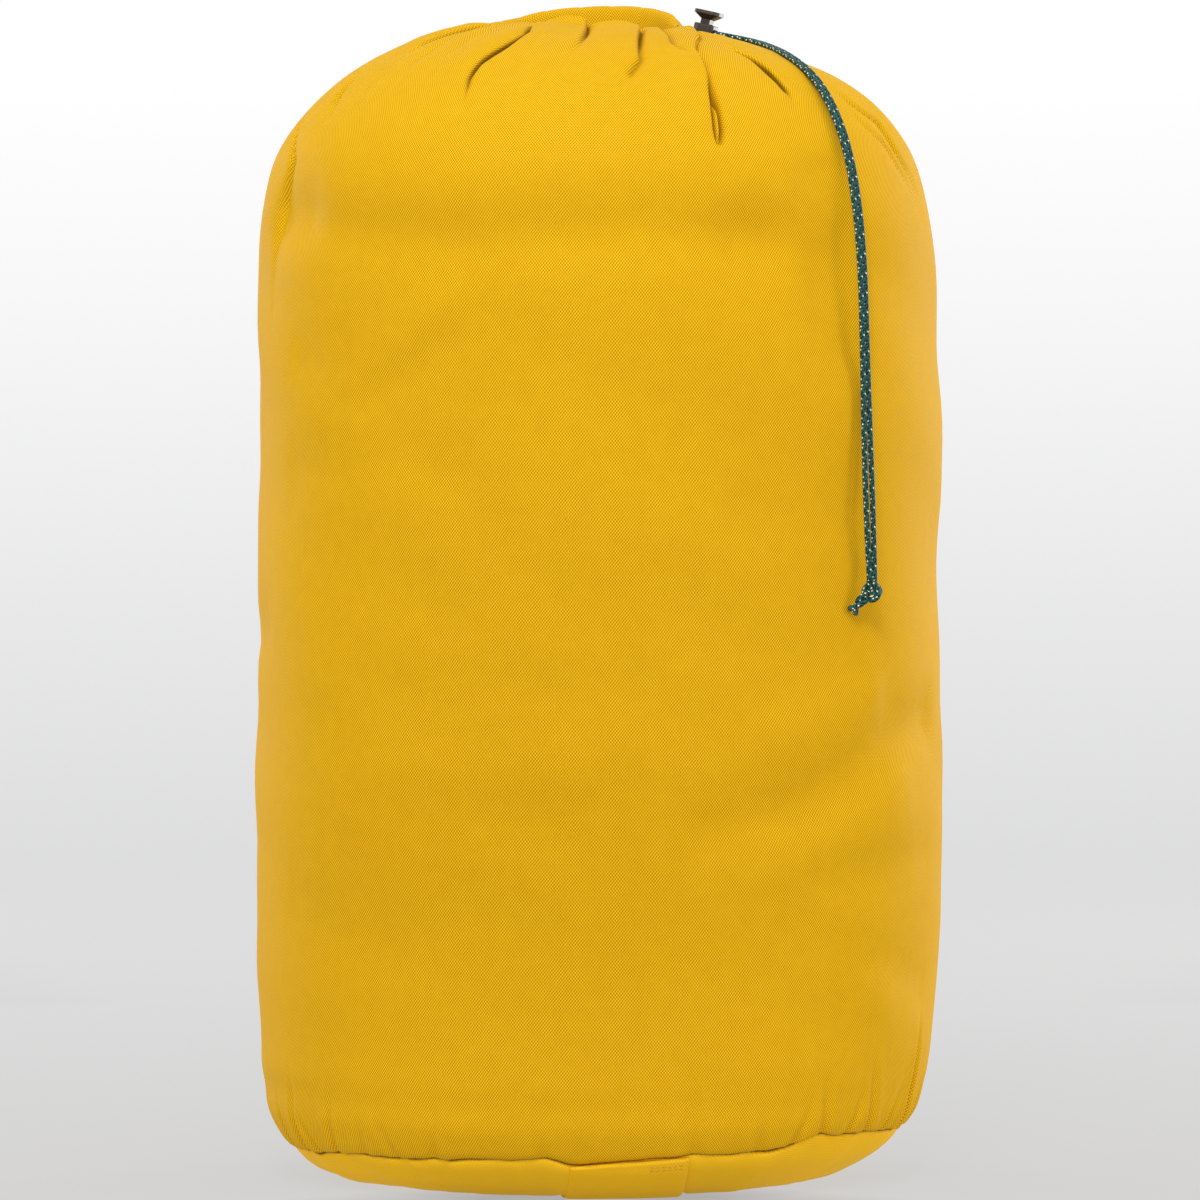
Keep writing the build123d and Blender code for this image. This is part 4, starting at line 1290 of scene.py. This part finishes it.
# ------------------------------------------------------------------ cord inside the mouth's tunnel
ring_line = []
for dg in np.linspace(4, 356, 120):
    t = math.radians(dg)
    r_ = float(cyclic(RIM_R, np.array([dg]))[0]) - 2.3
    z_ = float(cyclic(RIM_Z, np.array([dg]))[0]) - 9.5
    ring_line.append((r_ * math.cos(t), r_ * math.sin(t), z_))
ring_line = np.array(ring_line) * MM
ring_cord, _ = braid_tube("cord_in_tunnel", ring_line, 2.2 * MM, mat_cord, n_round=12, step=0.8 * MM)

# ------------------------------------------------------------------ which CAD node each piece stands for
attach(body, "sack"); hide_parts("body_panel", "drawcord_tunnel")
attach(base, "sack"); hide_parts("base_panel")
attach(strap, "sack"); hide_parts("base_handle")
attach(strap_stitch, "sack"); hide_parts("handle_stitching")
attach(seam_st, "sack"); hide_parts("base_seam_thread")
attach(tun_st, "sack"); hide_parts("tunnel_thread")
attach(side_st, "sack"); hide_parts("side_seam_thread")
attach(bind_base, "sack"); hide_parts("base_seam_binding")
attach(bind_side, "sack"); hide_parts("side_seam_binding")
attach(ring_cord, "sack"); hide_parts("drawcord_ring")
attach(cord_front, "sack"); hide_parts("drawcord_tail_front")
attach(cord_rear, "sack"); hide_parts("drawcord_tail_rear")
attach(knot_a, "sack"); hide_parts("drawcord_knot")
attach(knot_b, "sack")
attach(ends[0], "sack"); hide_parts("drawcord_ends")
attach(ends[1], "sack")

for node, mat in (("cord_lock_barrel", mat_plastic), ("cord_lock_plunger", mat_plastic), ("cord_lock_spring", mat_steel)):
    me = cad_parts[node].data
    me.materials.clear()
    me.materials.append(mat)

# ------------------------------------------------------------------ floor, backdrop and light
def backdrop():
    """A round cyclorama: pale floor that sweeps up to a pale wall on every side."""
    prof = [(0.0, 0.0), (0.05, 0.0)] + [(r, 0.0) for r in np.geomspace(0.1, 4.2, 46)]
    for a_ in np.linspace(0, 90, 25)[1:]:
        prof.append((4.2 + 1.6 * math.sin(math.radians(a_)), 1.6 - 1.6 * math.cos(math.radians(a_))))
    prof += [(5.8, 1.9), (5.8, 2.4), (5.8, 3.2), (5.8, 4.5)]
    na = 96
    verts, vals = [(0.0, 0.0, -0.0002)], [0.0]
    for r, z in prof[1:]:
        for k_ in range(na):
            t = 2 * math.pi * k_ / na
            verts.append((r * math.cos(t), r * math.sin(t), z - 0.0002))
            vals.append((z - 0.264) / (r + 2.6) * 2.6 / 0.276)
    vals[0] = vals[1]
    f = [(0, 1 + k_, 1 + (k_ + 1) % na) for k_ in range(na)]
    for i in range(len(prof) - 2):
        for k_ in range(na):
            a_, b_ = 1 + i * na + k_, 1 + i * na + (k_ + 1) % na
            f.append((a_, a_ + na, b_ + na, b_))
    me = bpy.data.meshes.new("backdrop")
    me.from_pydata(verts, [], f)
    lay = me.uv_layers.new(name="shade")
    lv = []
    for q in me.polygons:
        for vi in q.vertices:
            t = math.degrees(math.atan2(verts[vi][0], verts[vi][1]))
            side = min(max((abs(t) - 14.0) / 26.0, 0.0), 1.0)
            side = side * side * (3 - 2 * side) if math.hypot(verts[vi][0], verts[vi][1]) > 1.2 else 0.0
            near_front = min(max((abs(t) - 128.0) / 26.0, 0.0), 1.0) if math.hypot(verts[vi][0], verts[vi][1]) > 0.06 else 0.5
            side = max(side, near_front)
            lv.append((vals[vi] * 0.5 + 0.5, side))
    lay.data.foreach_set("uv", np.array(lv, np.float32).ravel())
    me.polygons.foreach_set("use_smooth", [True] * len(me.polygons))
    m = Nodes("backdrop_paper")
    # painted light and shade: the paper glows (emission) as a stand-in for studio light; its grey is painted darker
    # toward the bottom of the camera's view and lighter up the wall, and it glows more behind the sack and on the near
    # floor than at the sides and in front
    u, v, _ = m.uv("shade")
    ramp = m.add("ShaderNodeValToRGB")
    m.link(u, ramp.inputs[0])
    cr = ramp.color_ramp
    stops = [(0.0, 200), (0.09, 205), (0.25, 214), (0.5, 229), (0.75, 245), (0.92, 253), (1.0, 255)]
    cr.elements[0].position, cr.elements[0].color = stops[0][0], rgb(*[stops[0][1]] * 3)
    cr.elements[1].position, cr.elements[1].color = stops[-1][0], rgb(*[stops[-1][1]] * 3)
    for pos, g in stops[1:-1]:
        el = cr.elements.new(pos)
        el.color = rgb(g, g, g)
    n = m.noise(m.obj(), 40.0, 2.0)
    emi = m.add("ShaderNodeEmission")
    m.link(ramp.outputs[0], emi.inputs["Color"])
    m.link(m.range(v, 0.0, 1.0, 1.05, 0.74), emi.inputs["Strength"])
    dif = m.add("ShaderNodeBsdfDiffuse")
    m.link(m.mix(m.range(n, 0.2, 0.8), rgb(236, 236, 236), rgb(240, 240, 240)), dif.inputs["Color"])
    mx = m.add("ShaderNodeAddShader")
    sc_ = m.add("ShaderNodeMixShader")
    sc_.inputs[0].default_value = 0.90
    m.link(dif.outputs[0], sc_.inputs[1])
    m.link(emi.outputs[0], sc_.inputs[2])
    m.link(sc_.outputs[0], m.out.inputs["Surface"])
    m.nt.nodes.remove(mx)
    m.mat.cycles.emission_sampling = "NONE"
    me.materials.append(m.mat)
    ob = bpy.data.objects.new("backdrop", me)
    COLL.objects.link(ob)
    return ob


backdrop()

world = bpy.data.worlds.new("studio")
SCENE.world = world
world.use_nodes = True
bg = world.node_tree.nodes["Background"]
bg.inputs[0].default_value = (0.96, 0.98, 1.0, 1)
bg.inputs[1].default_value = 0.9


def area(name, loc, target, size, power, color=(1, 1, 1)):
    d = bpy.data.lights.new(name, "AREA")
    d.shape = "RECTANGLE"
    d.size, d.size_y = size
    d.energy = power
    d.color = color
    o = bpy.data.objects.new(name, d)
    COLL.objects.link(o)
    o.location = loc
    from mathutils import Vector
    o.rotation_mode = "QUATERNION"
    o.rotation_quaternion = (Vector(target) - Vector(loc)).to_track_quat("-Z", "Y")
    o.visible_camera = False
    return o


key = area("key", (-0.16, -1.85, 1.62), (0, 0, 0.50), (0.7, 0.7), 2.1)
key.data.spread = math.radians(50)
area("left", (-1.75, 1.95, 0.6), (0, 0, 0.28), (0.6, 1.4), 22, (1.0, 0.96, 0.90))
area("right", (1.75, 1.85, 0.5), (0, 0, 0.22), (0.6, 1.4), 34, (1.0, 0.96, 0.90))
area("right_low", (1.9, -0.75, 0.2), (0.1, -0.1, 0.14), (0.6, 0.5), 5.4, (1.0, 0.94, 0.82))
area("left_fill", (-1.9, -0.5, 0.5), (-0.1, -0.1, 0.3), (0.5, 0.9), 2.7, (1.0, 0.95, 0.86))
bounce = area("floor_bounce", (0, -0.27, 0.0065), (0, -0.13, 0.0095), (0.34, 0.010), 0.030)
bounce.data.spread = math.radians(100)
SCENE.view_settings.view_transform = "Standard"
SCENE.view_settings.look = "None"
